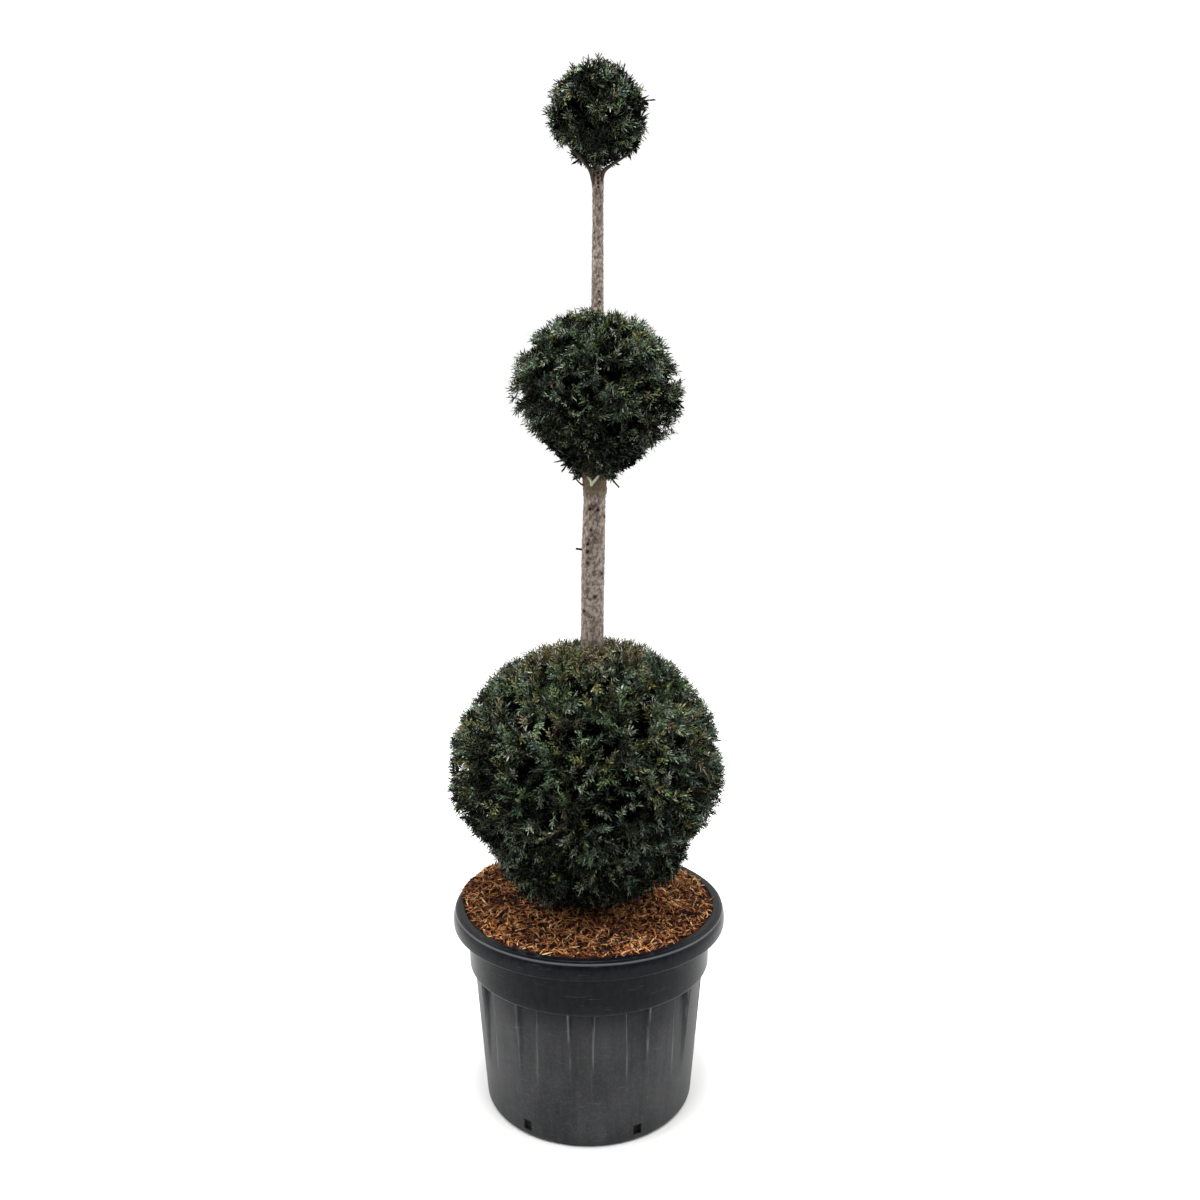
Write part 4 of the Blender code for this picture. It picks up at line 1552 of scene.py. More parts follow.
@dataclass
class Stem:
    """The stem with its lean, taper and flare, and the limbs that leave it."""

    seat: float = 0.4403
    top: float = 2.125
    curve: float = 1.35
    collar_swell: float = 0.55
    collar_reach: float = 0.6
    collar_length: float = 0.8
    trunk_relief: Relief = Relief(0.0026, 66, 0.0032, 0.0062, 0.0095, 0.0024)
    limb_relief: Relief = Relief(0.0022, 16, 0.0018, 0.005, 0.008)
    full_relief_radius: float = 0.0085
    peeled_node: str = "stub_pruned_front"
    peeled_share: float = 0.2
    stations: tuple[tuple[float, float, float], ...] = (
        (0.4403, 0.0068, 0.0430), (0.450, 0.0068, 0.0365), (0.468, 0.0068, 0.0310),
        (0.520, 0.0068, 0.0275), (0.800, 0.0069, 0.0254), (1.050, 0.0077, 0.0245),
        (1.200, 0.0096, 0.0251), (1.310, 0.0122, 0.0238), (1.345, 0.0124, 0.0250),
        (1.370, 0.0126, 0.0268), (1.400, 0.0130, 0.0240), (1.480, 0.0142, 0.0200),
        (1.600, 0.0170, 0.0158), (1.715, 0.0189, 0.0132), (1.780, 0.0190, 0.0126),
        (1.850, 0.0194, 0.0119), (1.960, 0.0199, 0.0117), (1.988, 0.0195, 0.0126),
        (2.020, 0.0190, 0.0080), (2.070, 0.0195, 0.0060), (2.125, 0.0205, 0.0030),
    )
    boughs: tuple[Limb, ...] = (
        Limb("bough_middle_right", 1.352, 12.0, 0.062, 0.068, 0.0085),
        Limb("bough_middle_back_right", 1.364, 82.0, 0.060, 0.064, 0.0075),
        Limb("bough_middle_back_left", 1.350, 150.0, 0.062, 0.072, 0.0080),
        Limb("bough_middle_left", 1.358, 215.0, 0.060, 0.066, 0.0080),
        Limb("bough_middle_front", 1.350, 290.0, 0.060, 0.072, 0.0080),
        Limb("bough_top_left", 1.988, 184.0, 0.056, 0.074, 0.0062, 0.26, (LEFT_PRONG,)),
        Limb("bough_top_right", 2.006, 352.0, 0.058, 0.060, 0.0060, 0.26, (RIGHT_PRONG,)),
        Limb("bough_top_back", 1.998, 95.0, 0.050, 0.064, 0.0032, 0.6),
        Limb("bough_top_front", 2.004, 262.0, 0.050, 0.064, 0.0028, 0.6),
    )
    twigs: tuple[Limb, ...] = (
        Limb("twig_thin_left", 1.345, 196.0, 0.052, 0.042, 0.0022, 0.60, (THIN_TWIG,)),
        Limb(
            "stub_pruned_front", 1.345, 278.0, 0.046, 0.026, 0.0040, 0.60, (STUB_RIGHT_ARM, STUB_LEFT_ARM)
        ),
        Limb("twig_grey_right", 1.354, 334.0, 0.060, -0.014, 0.0024, 0.75, (GREY_TWIG,)),
        Limb("stub_left", 1.208, 190.0, 0.038, 0.005, 0.0030, 0.75),
    )
    knots: tuple[Knot, ...] = (
        Knot(1.300, -22, 0.0060), Knot(1.298, 18, 0.0052), Knot(1.255, -13, 0.0040),
        Knot(1.225, -27, 0.0056), Knot(1.208, -27, 0.0058), Knot(1.184, -27, 0.0046),
        Knot(1.111, 9, 0.0046), Knot(1.079, -44, 0.0050), Knot(1.339, 86, 0.0062),
        Knot(1.283, 62, 0.0050), Knot(1.160, 50, 0.0040), Knot(1.758, 10, 0.0032),
        Knot(1.737, 19, 0.0030), Knot(1.720, 10, 0.0030), Knot(1.880, -35, 0.0028),
        Knot(1.974, 4, 0.0026), Knot(1.983, 4, 0.0034), Knot(1.993, 3, 0.0042),
        Knot(2.004, 2, 0.0050), Knot(1.270, 118), Knot(1.140, 150), Knot(1.235, 205),
        Knot(1.050, 240), Knot(1.905, 140, 0.0030), Knot(1.812, 230, 0.0030),
    )

    def at(self, height: float) -> tuple[Vector, float]:
        """The stem at a height.

        Args:
            height: The height, which is kept to the stem's own.

        Returns:
            The point on its axis and its radius.
        """
        height = max(self.seat, min(self.top, height))
        for low, high in zip(self.stations, self.stations[1:]):
            if height <= high[0]:
                break
        share = (height - low[0]) / (high[0] - low[0])
        return Vector((between(low[1], high[1], share), 0.0, height)), between(low[2], high[2], share)

    def run_of(self, limb: Limb, points: int = 12) -> tuple[list[Vector], list[float]]:
        """A limb's line and its radii, with a collar where it leaves the stem.

        Args:
            limb: The limb.
            points: The number of points on its line.

        Returns:
            The points and the radius at each.
        """
        start, stem_radius = self.at(limb.height)
        bearing = math.radians(limb.bearing)
        outwards = Vector((math.cos(bearing), math.sin(bearing), 0.0))
        line, radii = [], []
        for index in range(points):
            share = index / (points - 1)
            reach = limb.reach * share
            line.append(start + outwards * reach + Vector((0, 0, limb.rise * share**self.curve)))
            past = max(0.0, reach - self.collar_reach * stem_radius) / (self.collar_length * limb.radius)
            collar = 1 + self.collar_swell * math.exp(-past)
            radii.append(limb.radius * between(1, limb.tip_share, share) * collar)
        return line, radii

    def lines_of(self, limb: Limb) -> Lines:
        """A limb's lines: its own routes where it has them, and otherwise its rule's.

        Args:
            limb: The limb.

        Returns:
            The lines that its bark follows.
        """
        lines = Lines()
        for route in limb.routes:
            shares = [place / (len(route) - 1) for place in range(len(route))]
            radii = [limb.radius * between(1, limb.tip_share, share) for share in shares]
            lines.add([Vector(point) for point in route], radii, UPWARDS)
        if not limb.routes:
            lines.add(*self.run_of(limb), UPWARDS)
        return lines

    def tip_of(self, node: str) -> Vector:
        """Where a bough ends."""
        limb = next(limb for limb in self.boughs if limb.node == node)
        return self.run_of(limb)[0][-1]

    def scars(self) -> bpy.types.Object:
        """The scars' points on the stem's skin with their radii, as a hidden helper."""
        points = []
        for knot in self.knots:
            axis, radius = self.at(knot.height)
            bearing = math.radians(knot.bearing)
            points.append(axis + radius * Vector((math.sin(bearing), -math.cos(bearing), 0.0)))
        mesh = mesh_from("knots", points)
        radii = [knot.radius for knot in self.knots]
        keep_values(mesh, "girth", radii)
        return holder_of("knots", mesh)

    def build(self, bark: BarkRecipe) -> None:
        """Builds the stem and every limb with its bark.

        Args:
            bark: The recipe that gives a limb its relief.
        """
        knots = self.scars()
        axis = Lines()
        points = [Vector((x, 0.0, height)) for height, x, _ in self.stations]
        axis.add(points, [radius for _, _, radius in self.stations], UPWARDS)
        values = {"knots": knots, "material": FlakingBark().material(), **asdict(self.trunk_relief)}
        mesh = bark.run("trunk_bark", axis.mesh("stem_line"), **values)
        add_piece("trunk_bark", mesh, "stem_bark", ["trunk"])
        brown, pale = THIN_BARK.material(), HEARTWOOD.material()
        for limb in (*self.boughs, *self.twigs):
            peeled = limb.node == self.peeled_node
            share = self.peeled_share if peeled else min(1.0, limb.radius / self.full_relief_radius)
            values = {"knots": knots, "material": pale if peeled else brown, **asdict(self.limb_relief)}
            values["depth"] *= share
            name = f"{limb.node}_bark"
            mesh = bark.run(name, self.lines_of(limb).mesh("limb_line"), **values)
            add_piece(name, mesh, "bough_bark", [limb.node])
        bpy.data.objects.remove(knots, do_unlink=True)


# --- foliage ---


@dataclass(frozen=True)
class Needle:
    """A yew needle: a flat blade with nearly parallel sides and a short point, bent a little."""

    length: float = 0.0170
    width: float = 0.0037
    bend: float = 0.10
    droop: float = 0.14
    twist: float = math.radians(24)

    def blade(self, root: Vector, along: Vector, across: Vector) -> tuple[list[Vector], list[Face]]:
        """One needle of three triangles.

        Args:
            root: Where it leaves its shoot.
            along: The way it points.
            across: The way its width lies.

        Returns:
            Its points and faces.
        """
        out = across.cross(along)
        points = []
        for share, half in ((0.0, 0.30), (0.66, 0.50), (1.0, 0.0)):
            middle = root + along * (self.length * share)
            middle += across * (self.bend * self.length * share**2)
            middle += out * (self.droop * self.length * share**2)
            points.extend([middle + across * (self.width * half), middle - across * (self.width * half)])
        del points[5]
        return points, [(0, 1, 3, 2), (2, 3, 4)]

    def group(self, pitch: float, angle: float) -> Mesh:
        """Four needles in two ranks, spread along one step of a shoot that runs along Y.

        Args:
            pitch: The step's length.
            angle: How far the needles stand off the shoot.

        Returns:
            The needles.
        """
        points: list[Vector] = []
        faces: list[Face] = []
        for index, (side, lift, turn) in enumerate(((1, 24, 2), (-1, -6, 9), (1, -14, -11), (-1, 30, -5))):
            off = angle + math.radians(turn)
            rise = math.radians(lift)
            aside, up = math.sin(off) * math.cos(rise), math.sin(off) * math.sin(rise)
            along = Vector((side * aside, math.cos(off), up))
            across = UPWARDS.cross(along).normalized()
            across = Matrix.Rotation(side * self.twist, 3, along) @ across
            root = Vector((0.0, pitch * (index - 1.5) / 4, 0.0))
            blade, loops = self.blade(root, along, across)
            faces.extend(tuple(len(points) + place for place in loop) for loop in loops)
            points.extend(blade)
        return mesh_from("needle_group", points, faces=faces)


@dataclass(frozen=True)
class Window:
    """A gap that the sky shows through, on the plane of the stem as seen from the front."""

    x: float
    z: float
    radius: float


@dataclass(frozen=True)
class Bulge:
    """A place where the shears left more, or took more, than the even outline."""

    lift: float
    spread: float
    gain: float
    bearing: float | None = None
    width: float = 60.0

    def share(self, direction: Vector) -> float:
        """How much this bulge adds along a unit direction, as a share of the outline.

        Args:
            direction: The direction.

        Returns:
            The share.
        """
        lift = math.degrees(math.asin(max(-1.0, min(1.0, direction.z))))
        share = self.gain * math.exp(-(((lift - self.lift) / self.spread) ** 2))
        if self.bearing is None:
            return share
        turn = math.degrees(math.atan2(direction.y, direction.x)) - self.bearing
        turn = (turn + 180) % 360 - 180
        return share * math.exp(-((turn / self.width) ** 2))


@dataclass
class Ball:
    """One clipped mass: its outline, and the rule that its limbs, twigs and sprays grow by."""

    node: str
    centre: tuple[float, float, float]
    radius: float
    up: float
    down: float
    underside: tuple[float, float]
    limbs: int
    twigs: int
    sprays: int
    skirt: int
    spray: float
    seed: int
    roots: tuple[str, ...] = ()
    looseness: float = 0.022
    raggedness: float = 0.014
    skin: float = 0.0075
    inner_layers: tuple[tuple[float, float], ...] = ((0.80, 0.26), (0.60, 0.24), (0.38, 0.16))
    amber: float = 0.0
    gloom: float = 0.0
    bulges: tuple[Bulge, ...] = ()
    windows: tuple[Window, ...] = ()
    limb_reach: float = 0.55
    side_shoots: int = 5
    heart_drop: float = 0.15

    def outline(self, direction: Vector) -> float:
        """Distance from the centre to the clipped outline along a unit direction.

        Args:
            direction: The direction.

        Returns:
            The distance.
        """
        across = math.hypot(direction.x, direction.y) / self.radius
        if direction.z >= 0:
            return 1 / math.hypot(across, direction.z / self.up)
        radius_power, drop_power = self.underside
        drop = -direction.z / self.down
        low, high = 0.0, 2 * (self.down + self.radius)
        for _ in range(24):
            middle = (low + high) / 2
            if (across * middle) ** radius_power + (drop * middle) ** drop_power < 1:
                low = middle
            else:
                high = middle
        return low

    def reach(self, direction: Vector) -> float:
        """The outline less the needles' own reach, with the clipping's small unevenness."""
        lump = noise.noise(direction * 3.1 + Vector((self.seed, 0, 0)))
        lump += 0.6 * noise.noise(direction * 8.0 + Vector((0, self.seed, 0)))
        share = 1 + self.looseness * (lump - 0.2) + sum(bulge.share(direction) for bulge in self.bulges)
        return self.outline(direction) * share - self.skin

    def directions(self, count: int, rng: random.Random, unevenness: float) -> list[Vector]:
        """Unit directions spread evenly over a sphere by the golden angle.

        Args:
            count: How many.
            rng: The source of chance.
            unevenness: How far each is moved.

        Returns:
            The directions.
        """
        start = rng.uniform(0, TURN)
        found = []
        for index in range(count):
            z = 1 - 2 * (index + 0.5) / count
            across = math.sqrt(1 - z * z)
            bearing = start + index * GOLDEN_ANGLE
            direction = Vector((across * math.cos(bearing), across * math.sin(bearing), z))
            shift = Vector([rng.gauss(0, unevenness) for _ in range(3)])
            found.append((direction + shift).normalized())
        return found


@dataclass
class Foliage:
    """Grows one ball: limbs from the heart, twigs from the limbs and leafy sprays from the twigs."""

    ball: Ball
    stem: Stem
    mulch: Mulch
    eye: Vector
    limits: tuple[Sequence[float], Sequence[float]]
    needle: Needle = Needle()
    pitch: float = 0.0072
    inner_needle: Needle = Needle(length=0.026, width=0.0082)
    inner_pitch: float = 0.0114
    spread: float = math.radians(60)
    roll: float = 1.3
    tilt: float = 0.25
    smallest: float = 0.70
    lead_lean: float = 0.42
    lead_girth: float = 0.0012
    side_places: tuple[float, float] = (0.16, 0.88)
    side_angles: tuple[float, float] = (30, 56)
    side_lengths: tuple[float, float] = (0.66, 0.36)
    side_chance: tuple[float, float] = (0.7, 1.15)
    side_lean: float = 0.30
    side_girth: float = 0.0008
    skirt_drops: tuple[float, float] = (0.42, 0.95)
    skirt_shade: float = 0.25
    stem_gap: float = 0.006
    ground_gap: float = 0.004
    step: float = 0.008
    same_tint: float = 0.12
    window_margin: float = 0.006

    def __post_init__(self) -> None:
        """Sets the seed, the centre and the empty lines."""
        self.rng = random.Random(self.ball.seed)
        self.centre = Vector(self.ball.centre)
        self.wood = Lines()
        self.shoots = Lines()
        self.leafy = {tint: Lines() for tint in Tint}

    def is_clear(self, point: Vector) -> bool:
        """Whether a point keeps to the ball's space, off the stem, the mulch and the windows.

        Args:
            point: The point.

        Returns:
            True where it does.
        """
        offset = point - self.centre
        if offset.length > self.ball.reach(offset.normalized()):
            return False
        if point.z < self.mulch.height(point.x, point.y) + self.ground_gap:
            return False
        axis, radius = self.stem.at(point.z)
        if point.z < self.stem.top and (point - axis).length < radius + self.stem_gap:
            return False
        sight = point - self.eye
        seen = self.eye + sight * (-self.eye.y / sight.y)
        margin = self.window_margin
        return all(math.hypot(seen.x - w.x, seen.z - w.z) > w.radius + margin for w in self.ball.windows)

    def trimmed(self, points: Sequence[Vector]) -> list[Vector]:
        """A line cut off where it leaves the ball's space, as shears would.

        Args:
            points: The line.

        Returns:
            What is left of it.
        """
        kept: list[Vector] = []
        for point in points:
            if self.is_clear(point):
                kept.append(point)
                continue
            if kept:
                low, high = kept[-1], point
                for _ in range(5):
                    middle = low.lerp(high, 0.5)
                    low, high = (middle, high) if self.is_clear(middle) else (low, middle)
                if (low - kept[-1]).length > 0.001:
                    kept.append(low)
            break
        return kept

    def bowed(self, start: Vector, end: Vector, lean: Vector, points: int) -> list[Vector]:
        """A curve between two points that leaves the first one along a lean.

        Args:
            start: The first point.
            end: The last one.
            lean: The way and distance that it leans out.
            points: The number of points.

        Returns:
            The curve.
        """
        control = start + lean
        return [
            start.lerp(control, share).lerp(control.lerp(end, share), share)
            for share in (step / (points - 1) for step in range(points))
        ]

    def grow_limbs(self) -> list[list[Vector]]:
        """Grows the limbs from the heart, or from the boughs' ends where they enter the mass.

        Returns:
            The limbs' lines.
        """
        ball, rng = self.ball, self.rng
        heart = self.centre + Vector((0, 0, -ball.heart_drop * ball.down))
        bough_tips = [self.stem.tip_of(node) for node in ball.roots]
        limbs = []
        for direction in ball.directions(ball.limbs, rng, 0.10):
            tip = self.centre + direction * ball.limb_reach * ball.reach(direction)
            low = between(heart.z, tip.z, 0.25) - 0.10 * ball.radius
            start, _ = self.stem.at(min(low, self.stem.top - 0.03))
            if bough_tips and (tip - self.centre).xy.length > 0.25 * ball.radius:
                start = min(bough_tips, key=lambda end: (end.xy - tip.xy).length)
            line = self.bowed(start, tip, Vector((0, 0, 0.25 * (tip - start).length)), 7)
            thick = 0.017 * ball.radius
            self.wood.add(line, [thick * between(1.0, 0.55, i / 6) for i in range(7)], UPWARDS)
            limbs.append(line)
        return limbs

    def grow_twigs(self, limbs: Sequence[Sequence[Vector]]) -> list[tuple[Vector, Vector]]:
        """Grows the twigs from the limbs' outer ends.

        Args:
            limbs: The limbs' lines.

        Returns:
            Points along the twigs with the way that the twig runs there.
        """
        ball, rng = self.ball, self.rng
        places = []
        for direction in ball.directions(ball.twigs, rng, 0.35 / math.sqrt(ball.twigs)):
            tip = self.centre + direction * ball.reach(direction) * rng.uniform(0.80, 0.92)
            limb = min(limbs, key=lambda line: (line[-1] - tip).length)
            root = limb[rng.choice((3, 4, 5, 6))]
            run = tip - root
            sag = Vector((rng.gauss(0, 0.08), rng.gauss(0, 0.08), 0.10)) * run.length
            line = self.bowed(root, tip, run * 0.45 + sag, 8)
            thick = 0.0066 * ball.radius + 0.0004
            self.wood.add(line, [thick * between(1.0, 0.45, i / 7) for i in range(8)], UPWARDS)
            for first, second in zip(line[2:], line[3:]):
                places.append((first, (second - first).normalized()))
        return places

    def tint_of(self, tip: Vector, inner: bool) -> Tint:
        """Deals a tint by its place: brighter and browner on top, deep and blue below. The brighter tints
        in the sun and the dark ones in the shade and inside are partly painted light and painted shade.

        Args:
            tip: The tip of the spray or shoot.
            inner: Whether it stands in the shade inside.

        Returns:
            The tint.
        """
        if inner:
            return Tint.SHADE
        amber = self.ball.amber
        height = (tip.z - self.centre.z) / self.ball.up
        drift = noise.noise(tip * 11.0) * 0.9
        sun = eased(-0.35, 0.95, height + 0.45 * drift)
        foot = eased(0.16, 0.06, (tip.xy - self.centre.xy).length) * eased(0.5, 0.8, height)
        weights = {tint: between(low, high, sun) for tint, (low, high) in TINT_SHARES.items()}
        for tint in (Tint.DEEP, Tint.DUSK):
            weights[tint] *= between(0.95, 0.24, sun) + self.ball.gloom + 0.9 * eased(-0.45, -0.95, height)
        weights[Tint.BLUE] += 0.08 * eased(0.0, 0.6, -drift)
        weights[Tint.OLIVE] += amber * foot
        weights[Tint.BRONZE] += 0.04 * eased(0.2, 0.7, drift)
        weights[Tint.BRONZE] += amber * foot
        return self.rng.choices(list(weights), list(weights.values()))[0]

    def grow_spray(self, root: Vector, lean: Vector, tip: Vector, inner: bool) -> None:
        """Grows one spray: a leading shoot with side shoots left and right.

        Args:
            root: Where it leaves its twig.
            lean: The way that the twig runs there.
            tip: Where it would end if it weren't clipped.
            inner: Whether it stands in the shade inside.
        """
        rng = self.rng
        tint = self.tint_of(tip, inner)
        run = tip - root
        stations = max(4, round(run.length / self.step))
        lead = self.bowed(root, tip, lean * self.lead_lean * run.length, stations)
        outwards = (tip - self.centre).normalized()
        chance = Vector([rng.gauss(0, 0.55) for _ in range(3)])
        ahead = run.normalized()
        face = outwards + Vector((0, 0, 0.35)) + chance
        face = (face - ahead * face.dot(ahead)).normalized()
        across = ahead.cross(face)
        self.add_shoot(lead, tint, face, self.lead_girth)
        sides = self.ball.side_shoots + rng.choice((-1, 0, 0, 1))
        for index in range(sides):
            share = between(*self.side_places, (index + rng.uniform(-0.25, 0.25)) / max(1, sides - 1))
            place = lead[max(0, min(len(lead) - 2, round(share * (len(lead) - 1))))]
            angle = math.radians(rng.uniform(*self.side_angles))
            side = across * (1 if index % 2 else -1)
            way = ahead * math.cos(angle) + side * math.sin(angle) + face * rng.gauss(0.0, 0.30)
            length = self.ball.spray * between(*self.side_lengths, share) * rng.uniform(*self.side_chance)
            end = place + way.normalized() * length
            line = self.bowed(place, end, side * self.side_lean * length, max(3, round(length / self.step)))
            if rng.random() > self.same_tint:
                tint = self.tint_of(tip, inner)
            self.add_shoot(line, tint, (face + 0.4 * chance).normalized(), self.side_girth)

    def add_shoot(self, line: Sequence[Vector], tint: Tint, face: Vector, girth: float) -> None:
        """Clips a shoot and adds its wood and its needles, where enough of it is left.

        Args:
            line: Its line.
            tint: Its needles' tint.
            face: The side that their upper faces look to.
            girth: Its wood's radius.
        """
        line = self.trimmed(line)
        if len(line) < 2:
            return
        girths = [girth * between(1.0, 0.6, i / (len(line) - 1)) for i in range(len(line))]
        self.leafy[tint].add(line, girths, face)
        ends = [line[0], line[len(line) // 2], line[-1]] if len(line) > 3 else [line[0], line[-1]]
        self.shoots.add(ends, [girth] * len(ends), face)

    def grow_sprays(self, places: Sequence[tuple[Vector, Vector]]) -> None:
        """Grows sprays from the twigs out to evenly spread tips, and sparser ones inside.

        Args:
            places: Points along the twigs with the way that the twig runs there.
        """
        ball, rng = self.ball, self.rng
        spots = np.array([tuple(place) for place, _ in places])
        for depth, share in ((1.0, 1.0), *ball.inner_layers):
            count = round(ball.sprays * share)
            inner = depth < 1.0
            for direction in ball.directions(count, rng, 0.5 / math.sqrt(count)):
                outer = ball.reach(direction) * depth * (1.01 - abs(rng.gauss(0, ball.raggedness)))
                tip = self.centre + direction * outer
                wanted = ball.spray * rng.uniform(0.75, 1.25)
                away = np.linalg.norm(spots - np.array(tuple(tip)), axis=1)
                root, lean = places[int(np.argmin(np.abs(away - wanted)))]
                self.grow_spray(root, lean, tip, inner)

    def grow_skirt(self) -> None:
        """Grows sprays up and out from the boughs round the stem, under the mass."""
        ball, rng = self.ball, self.rng
        limbs = [limb for limb in self.stem.boughs if limb.node in ball.roots]
        for index in range(ball.skirt):
            drop = between(*self.skirt_drops, (index + rng.random()) / ball.skirt)
            bearing = index * GOLDEN_ANGLE
            flat = Vector((math.cos(bearing), math.sin(bearing), 0.0))
            height = self.centre.z - drop * ball.down
            across = ball.radius * (1 - drop ** ball.underside[1]) ** (1 / ball.underside[0])
            tip = Vector((*self.centre.xy, height)) + flat * max(0.0, across - 0.8 * ball.skin)
            lines = [self.stem.run_of(limb)[0] for limb in limbs]
            line = min(lines, key=lambda run: (run[-1].xy - tip.xy).length)
            below = [point for point in line if point.z < tip.z - 0.35 * ball.spray] or line[:4]
            lean = (flat + 0.5 * UPWARDS).normalized()
            self.grow_spray(below[-1], lean, tip, rng.random() < self.skirt_shade)

    def build(self, needles: NeedleRecipe, twigs: TwigRecipe) -> None:
        """Grows the ball and adds its pieces: wood, shoots and the needles of each tint.

        Args:
            needles: The recipe that sets needles along lines.
            twigs: The recipe that draws wood along lines.
        """
        node = self.ball.node
        self.grow_sprays(self.grow_twigs(self.grow_limbs()))
        self.grow_skirt()
        for label, lines, sides, finish, slot in (
            ("limbs", self.wood, 6, TWIG_BARK, "bough_bark"),
            ("shoots", self.shoots, 3, GREEN_SHOOT, "yew_needles"),
        ):
            name = f"{node}_{label}"
            mesh = twigs.run(name, lines.mesh("wood_lines"), sides=sides, material=finish.material())
            add_piece(name, mesh, slot)
        outer = holder_of("needle_group", self.needle.group(self.pitch, self.spread))
        inner = holder_of("inner_group", self.inner_needle.group(self.inner_pitch, self.spread))
        for seed, (tint, lines) in enumerate(self.leafy.items(), self.ball.seed):
            label = tint.name.lower()
            base, shade = tint.value
            # In the shade, the wax has less to reflect.
            ior = 1.2 if tint in (Tint.SHADE, Tint.DEEP, Tint.DUSK) else NeedleSkin.ior
            material = NeedleSkin(f"needle_skin_{label}", ior=ior, base=base, shade=shade).material()
            values = {"needles": outer, "pitch": self.pitch}
            if tint is Tint.SHADE:
                values = {"needles": inner, "pitch": self.inner_pitch}
            values |= {"roll": self.roll, "tilt": self.tilt, "smallest": self.smallest, "seed": seed}
            name = f"{node}_needles_{label}"
            mesh = needles.run(name, lines.mesh("leafy_lines"), material=material, **values)
            keep_within(mesh, *self.limits)
            add_piece(name, mesh, "yew_needles", [node])
        for group in (outer, inner):
            bpy.data.objects.remove(group, do_unlink=True)


# --- studio ---


@dataclass
class Softbox:
    """A soft light: where it stands, how large it is and how strong."""

    name: str
    place: tuple[float, float, float]
    size: tuple[float, float]
    power: float


@dataclass
class Studio:
    """The pale floor, the soft lights and the camera."""

    eye: tuple[float, float, float] = (0.0243, -2.3653, 1.4682)
    tilt: float = math.radians(4.95)
    lens: float = 33.0
    sensor: float = 36.0
    shift: float = -0.0624
    aim: tuple[float, float, float] = (0.0, 0.0, 1.1)
    floor: float = 60.0
    white: str = "#ffffff"
    front_glow: float = 0.10
    front_edge: float = -0.9
    back_glow: float = 1.0
    back_edge: float = 0.3
    sky_glow: float = 1.3
    sky_focus: float = 3.0
    boxes: tuple[Softbox, ...] = (
        Softbox("overhead", (-0.08, -0.85, 4.2), (1.5, 1.0), 170.0),
        Softbox("left", (-2.6, 0.1, 1.9), (1.0, 2.8), 46.0),
        Softbox("right", (2.6, 0.3, 1.9), (1.0, 2.8), 46.0),
    )

    def build_camera(self) -> None:
        """Sets the camera up."""
        data = bpy.data.cameras.new("camera")
        data.lens = self.lens
        data.sensor_width = self.sensor
        data.sensor_fit = "HORIZONTAL"
        data.shift_y = self.shift
        camera = bpy.data.objects.new("camera", data)
        camera.location = self.eye
        camera.rotation_euler = (math.pi / 2 - self.tilt, 0.0, 0.0)
        bpy.context.scene.collection.objects.link(camera)
        bpy.context.scene.camera = camera

    def build_floor(self) -> None:
        """Lays the pale floor."""
        bpy.ops.mesh.primitive_plane_add(size=self.floor)
        floor = bpy.context.object
        floor.name = "studio_floor"
        floor.data.materials.append(FLOOR_PAINT.material())
        floor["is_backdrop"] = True

    def build_world(self) -> None:
        """Sets the even glow of the walls and the ceiling."""
        world = bpy.data.worlds.new("studio")
        world.use_nodes = True
        tree = world.node_tree
        background = tree.nodes["Background"]
        background.inputs["Color"].default_value = linear(self.white)
        # The wall behind the camera is dim, so the front of the pot and the balls keep their depth.
        way = add_node(tree, "ShaderNodeTexCoord", output="Generated")
        back = add_node(tree, "ShaderNodeSeparateXYZ", {"Vector": way}, "Y")
        inputs = {"Value": back, "From Min": self.front_edge, "From Max": self.back_edge}
        inputs |= {"To Min": self.front_glow, "To Max": self.back_glow}
        glow = add_node(tree, MAP_RANGE, inputs)
        up = add_node(tree, MATH, (back.node.outputs["Z"], self.sky_focus), operation="POWER")
        up = add_node(tree, MATH, (up, 0.0), operation="MAXIMUM")
        glow = add_node(tree, MATH, (up, self.sky_glow, glow), operation="MULTIPLY_ADD")
        tree.links.new(glow, background.inputs["Strength"])
        bpy.context.scene.world = world
        bpy.context.scene.view_settings.view_transform = "Standard"

    def build_light(self, box: Softbox) -> None:
        """Hangs one softbox and turns it towards the plant.

        Args:
            box: The softbox.
        """
        data = bpy.data.lights.new(box.name, "AREA")
        data.shape = "RECTANGLE"
        data.size, data.size_y = box.size
        data.energy = box.power
        lamp = bpy.data.objects.new(box.name, data)
        lamp.location = box.place
        way = Vector(self.aim) - Vector(box.place)
        lamp.rotation_euler = way.to_track_quat("-Z", "Y").to_euler()
        bpy.context.scene.collection.objects.link(lamp)

    def build(self) -> None:
        """Sets up the camera, the floor, the world and the lights."""
        self.build_camera()
        self.build_floor()
        self.build_world()
        for box in self.boxes:
            self.build_light(box)


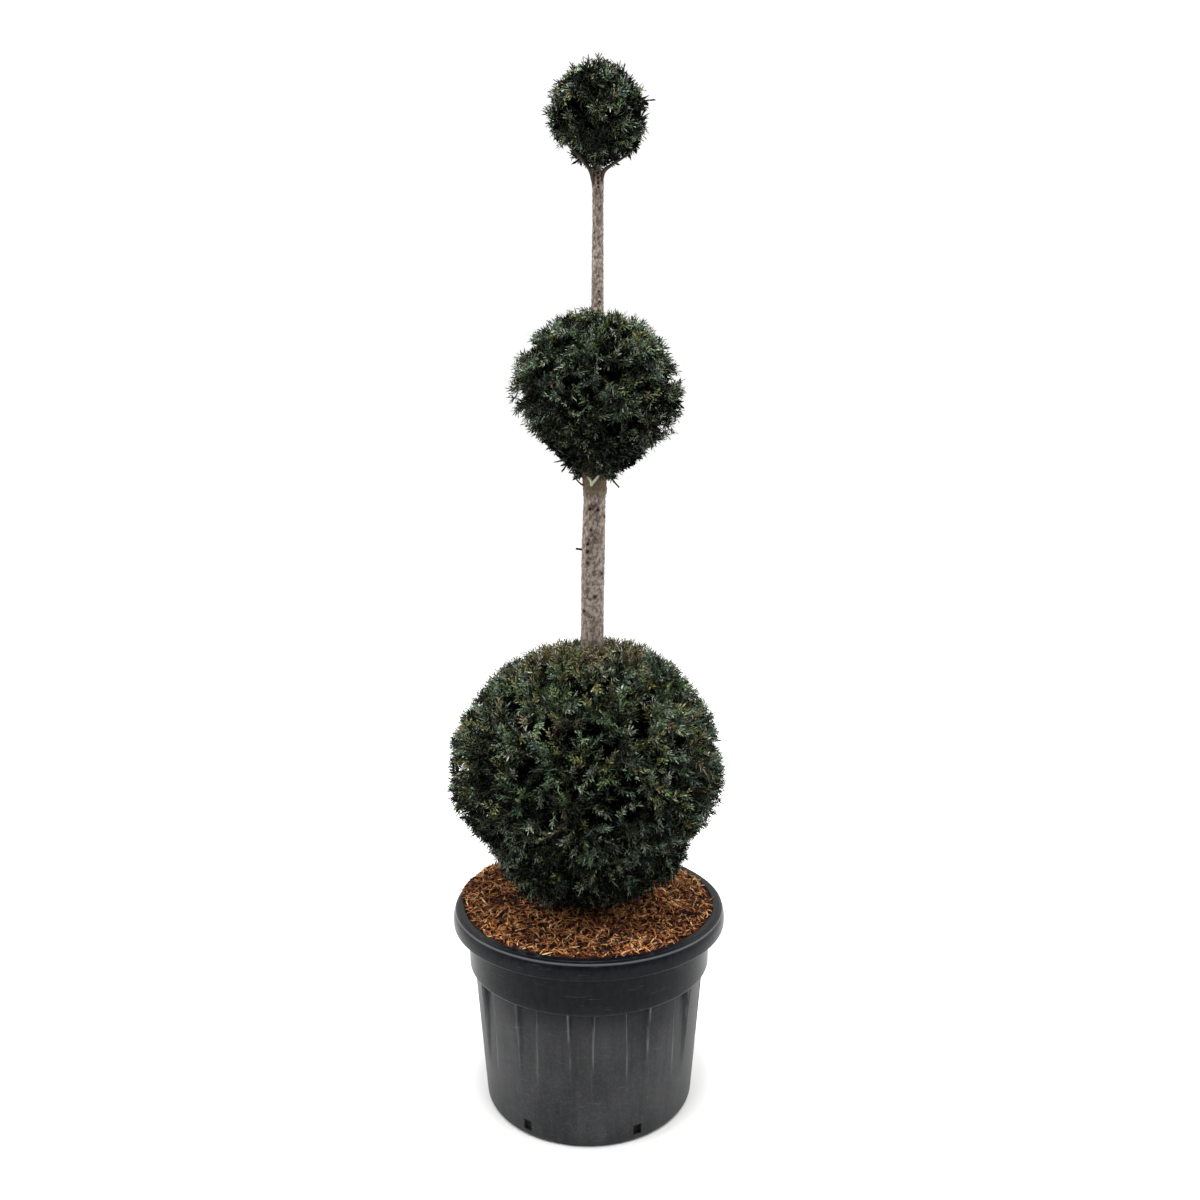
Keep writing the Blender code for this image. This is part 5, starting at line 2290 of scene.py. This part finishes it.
BALLS = (
    Ball(
        "lower_ball",
        centre=(-0.006, 0.0, 0.724),
        radius=0.304,
        up=0.283,
        down=0.290,
        underside=(2, 2),
        limbs=22,
        twigs=300,
        sprays=1000,
        skirt=0,
        spray=0.062,
        seed=5,
        amber=1.3,
        bulges=(
            Bulge(58, 28, 0.055, 0, 65),
            Bulge(-33, 15, -0.115),
            Bulge(-45, 14, 0.080, 0, 50),
            Bulge(-60, 12, 0.035, 180, 55),
            Bulge(75, 20, 0.015),
        ),
        windows=(Window(-0.195, 0.580, 0.005), Window(-0.225, 0.625, 0.005)),
    ),
    Ball(
        "middle_ball",
        centre=(0.018, 0.0, 1.550),
        radius=0.191,
        up=0.183,
        down=0.214,
        underside=(1, 1.75),
        limbs=14,
        twigs=130,
        sprays=420,
        skirt=60,
        spray=0.056,
        seed=17,
        roots=(
            "bough_middle_right",
            "bough_middle_back_right",
            "bough_middle_back_left",
            "bough_middle_left",
            "bough_middle_front",
        ),
        looseness=0.05,
        raggedness=0.030,
        bulges=(
            Bulge(90, 40, -0.045),
            Bulge(-48, 25, -0.065, 180, 60),
            Bulge(-28, 15, 0.085, 0, 38),
            Bulge(24, 24, -0.050, 0, 55),
        ),
        windows=(
            Window(-0.123, 1.640, 0.007),
            Window(-0.138, 1.545, 0.007),
            Window(0.167, 1.572, 0.008),
            Window(0.089, 1.485, 0.005),
            Window(0.086, 1.447, 0.007),
            Window(0.149, 1.477, 0.007),
        ),
    ),
    Ball(
        "top_ball",
        centre=(0.020, 0.0, 2.122),
        radius=0.112,
        up=0.123,
        down=0.120,
        underside=(1.2, 2),
        limbs=9,
        twigs=60,
        sprays=170,
        skirt=22,
        spray=0.046,
        seed=29,
        roots=("bough_top_left", "bough_top_right", "bough_top_back", "bough_top_front"),
        looseness=0.10,
        raggedness=0.05,
        gloom=0.30,
        bulges=(Bulge(42, 15, -0.10, 0, 50), Bulge(45, 20, -0.06, 180, 50), Bulge(-52, 16, 0.08, 0, 45)),
        windows=(
            Window(-0.039, 2.140, 0.008),
            Window(0.110, 2.130, 0.008),
            Window(-0.039, 2.065, 0.009),
            Window(0.068, 2.043, 0.009),
        ),
    ),
)


def main() -> None:
    """Builds every sub-assembly round the frame and reports each piece."""
    logging.basicConfig(level=logging.INFO, format="%(name)s: %(message)s")
    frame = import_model()
    packed = [list(corner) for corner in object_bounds()]
    studio, pot, mulch, stem = Studio(), NurseryPot(), Mulch(), Stem()
    studio.build()
    pot.build(TurnedRecipe())
    soil = frame["nodes"]["root_ball"].data.materials
    soil.clear()
    soil.append(MoistPeat().material())
    mulch.build(ScatterRecipe())
    stem.build(BarkRecipe())
    needles, twigs = NeedleRecipe(), TwigRecipe()
    for ball in BALLS:
        Foliage(ball, stem, mulch, Vector(studio.eye), packed).build(needles, twigs)


if __name__ == "__main__":
    main()
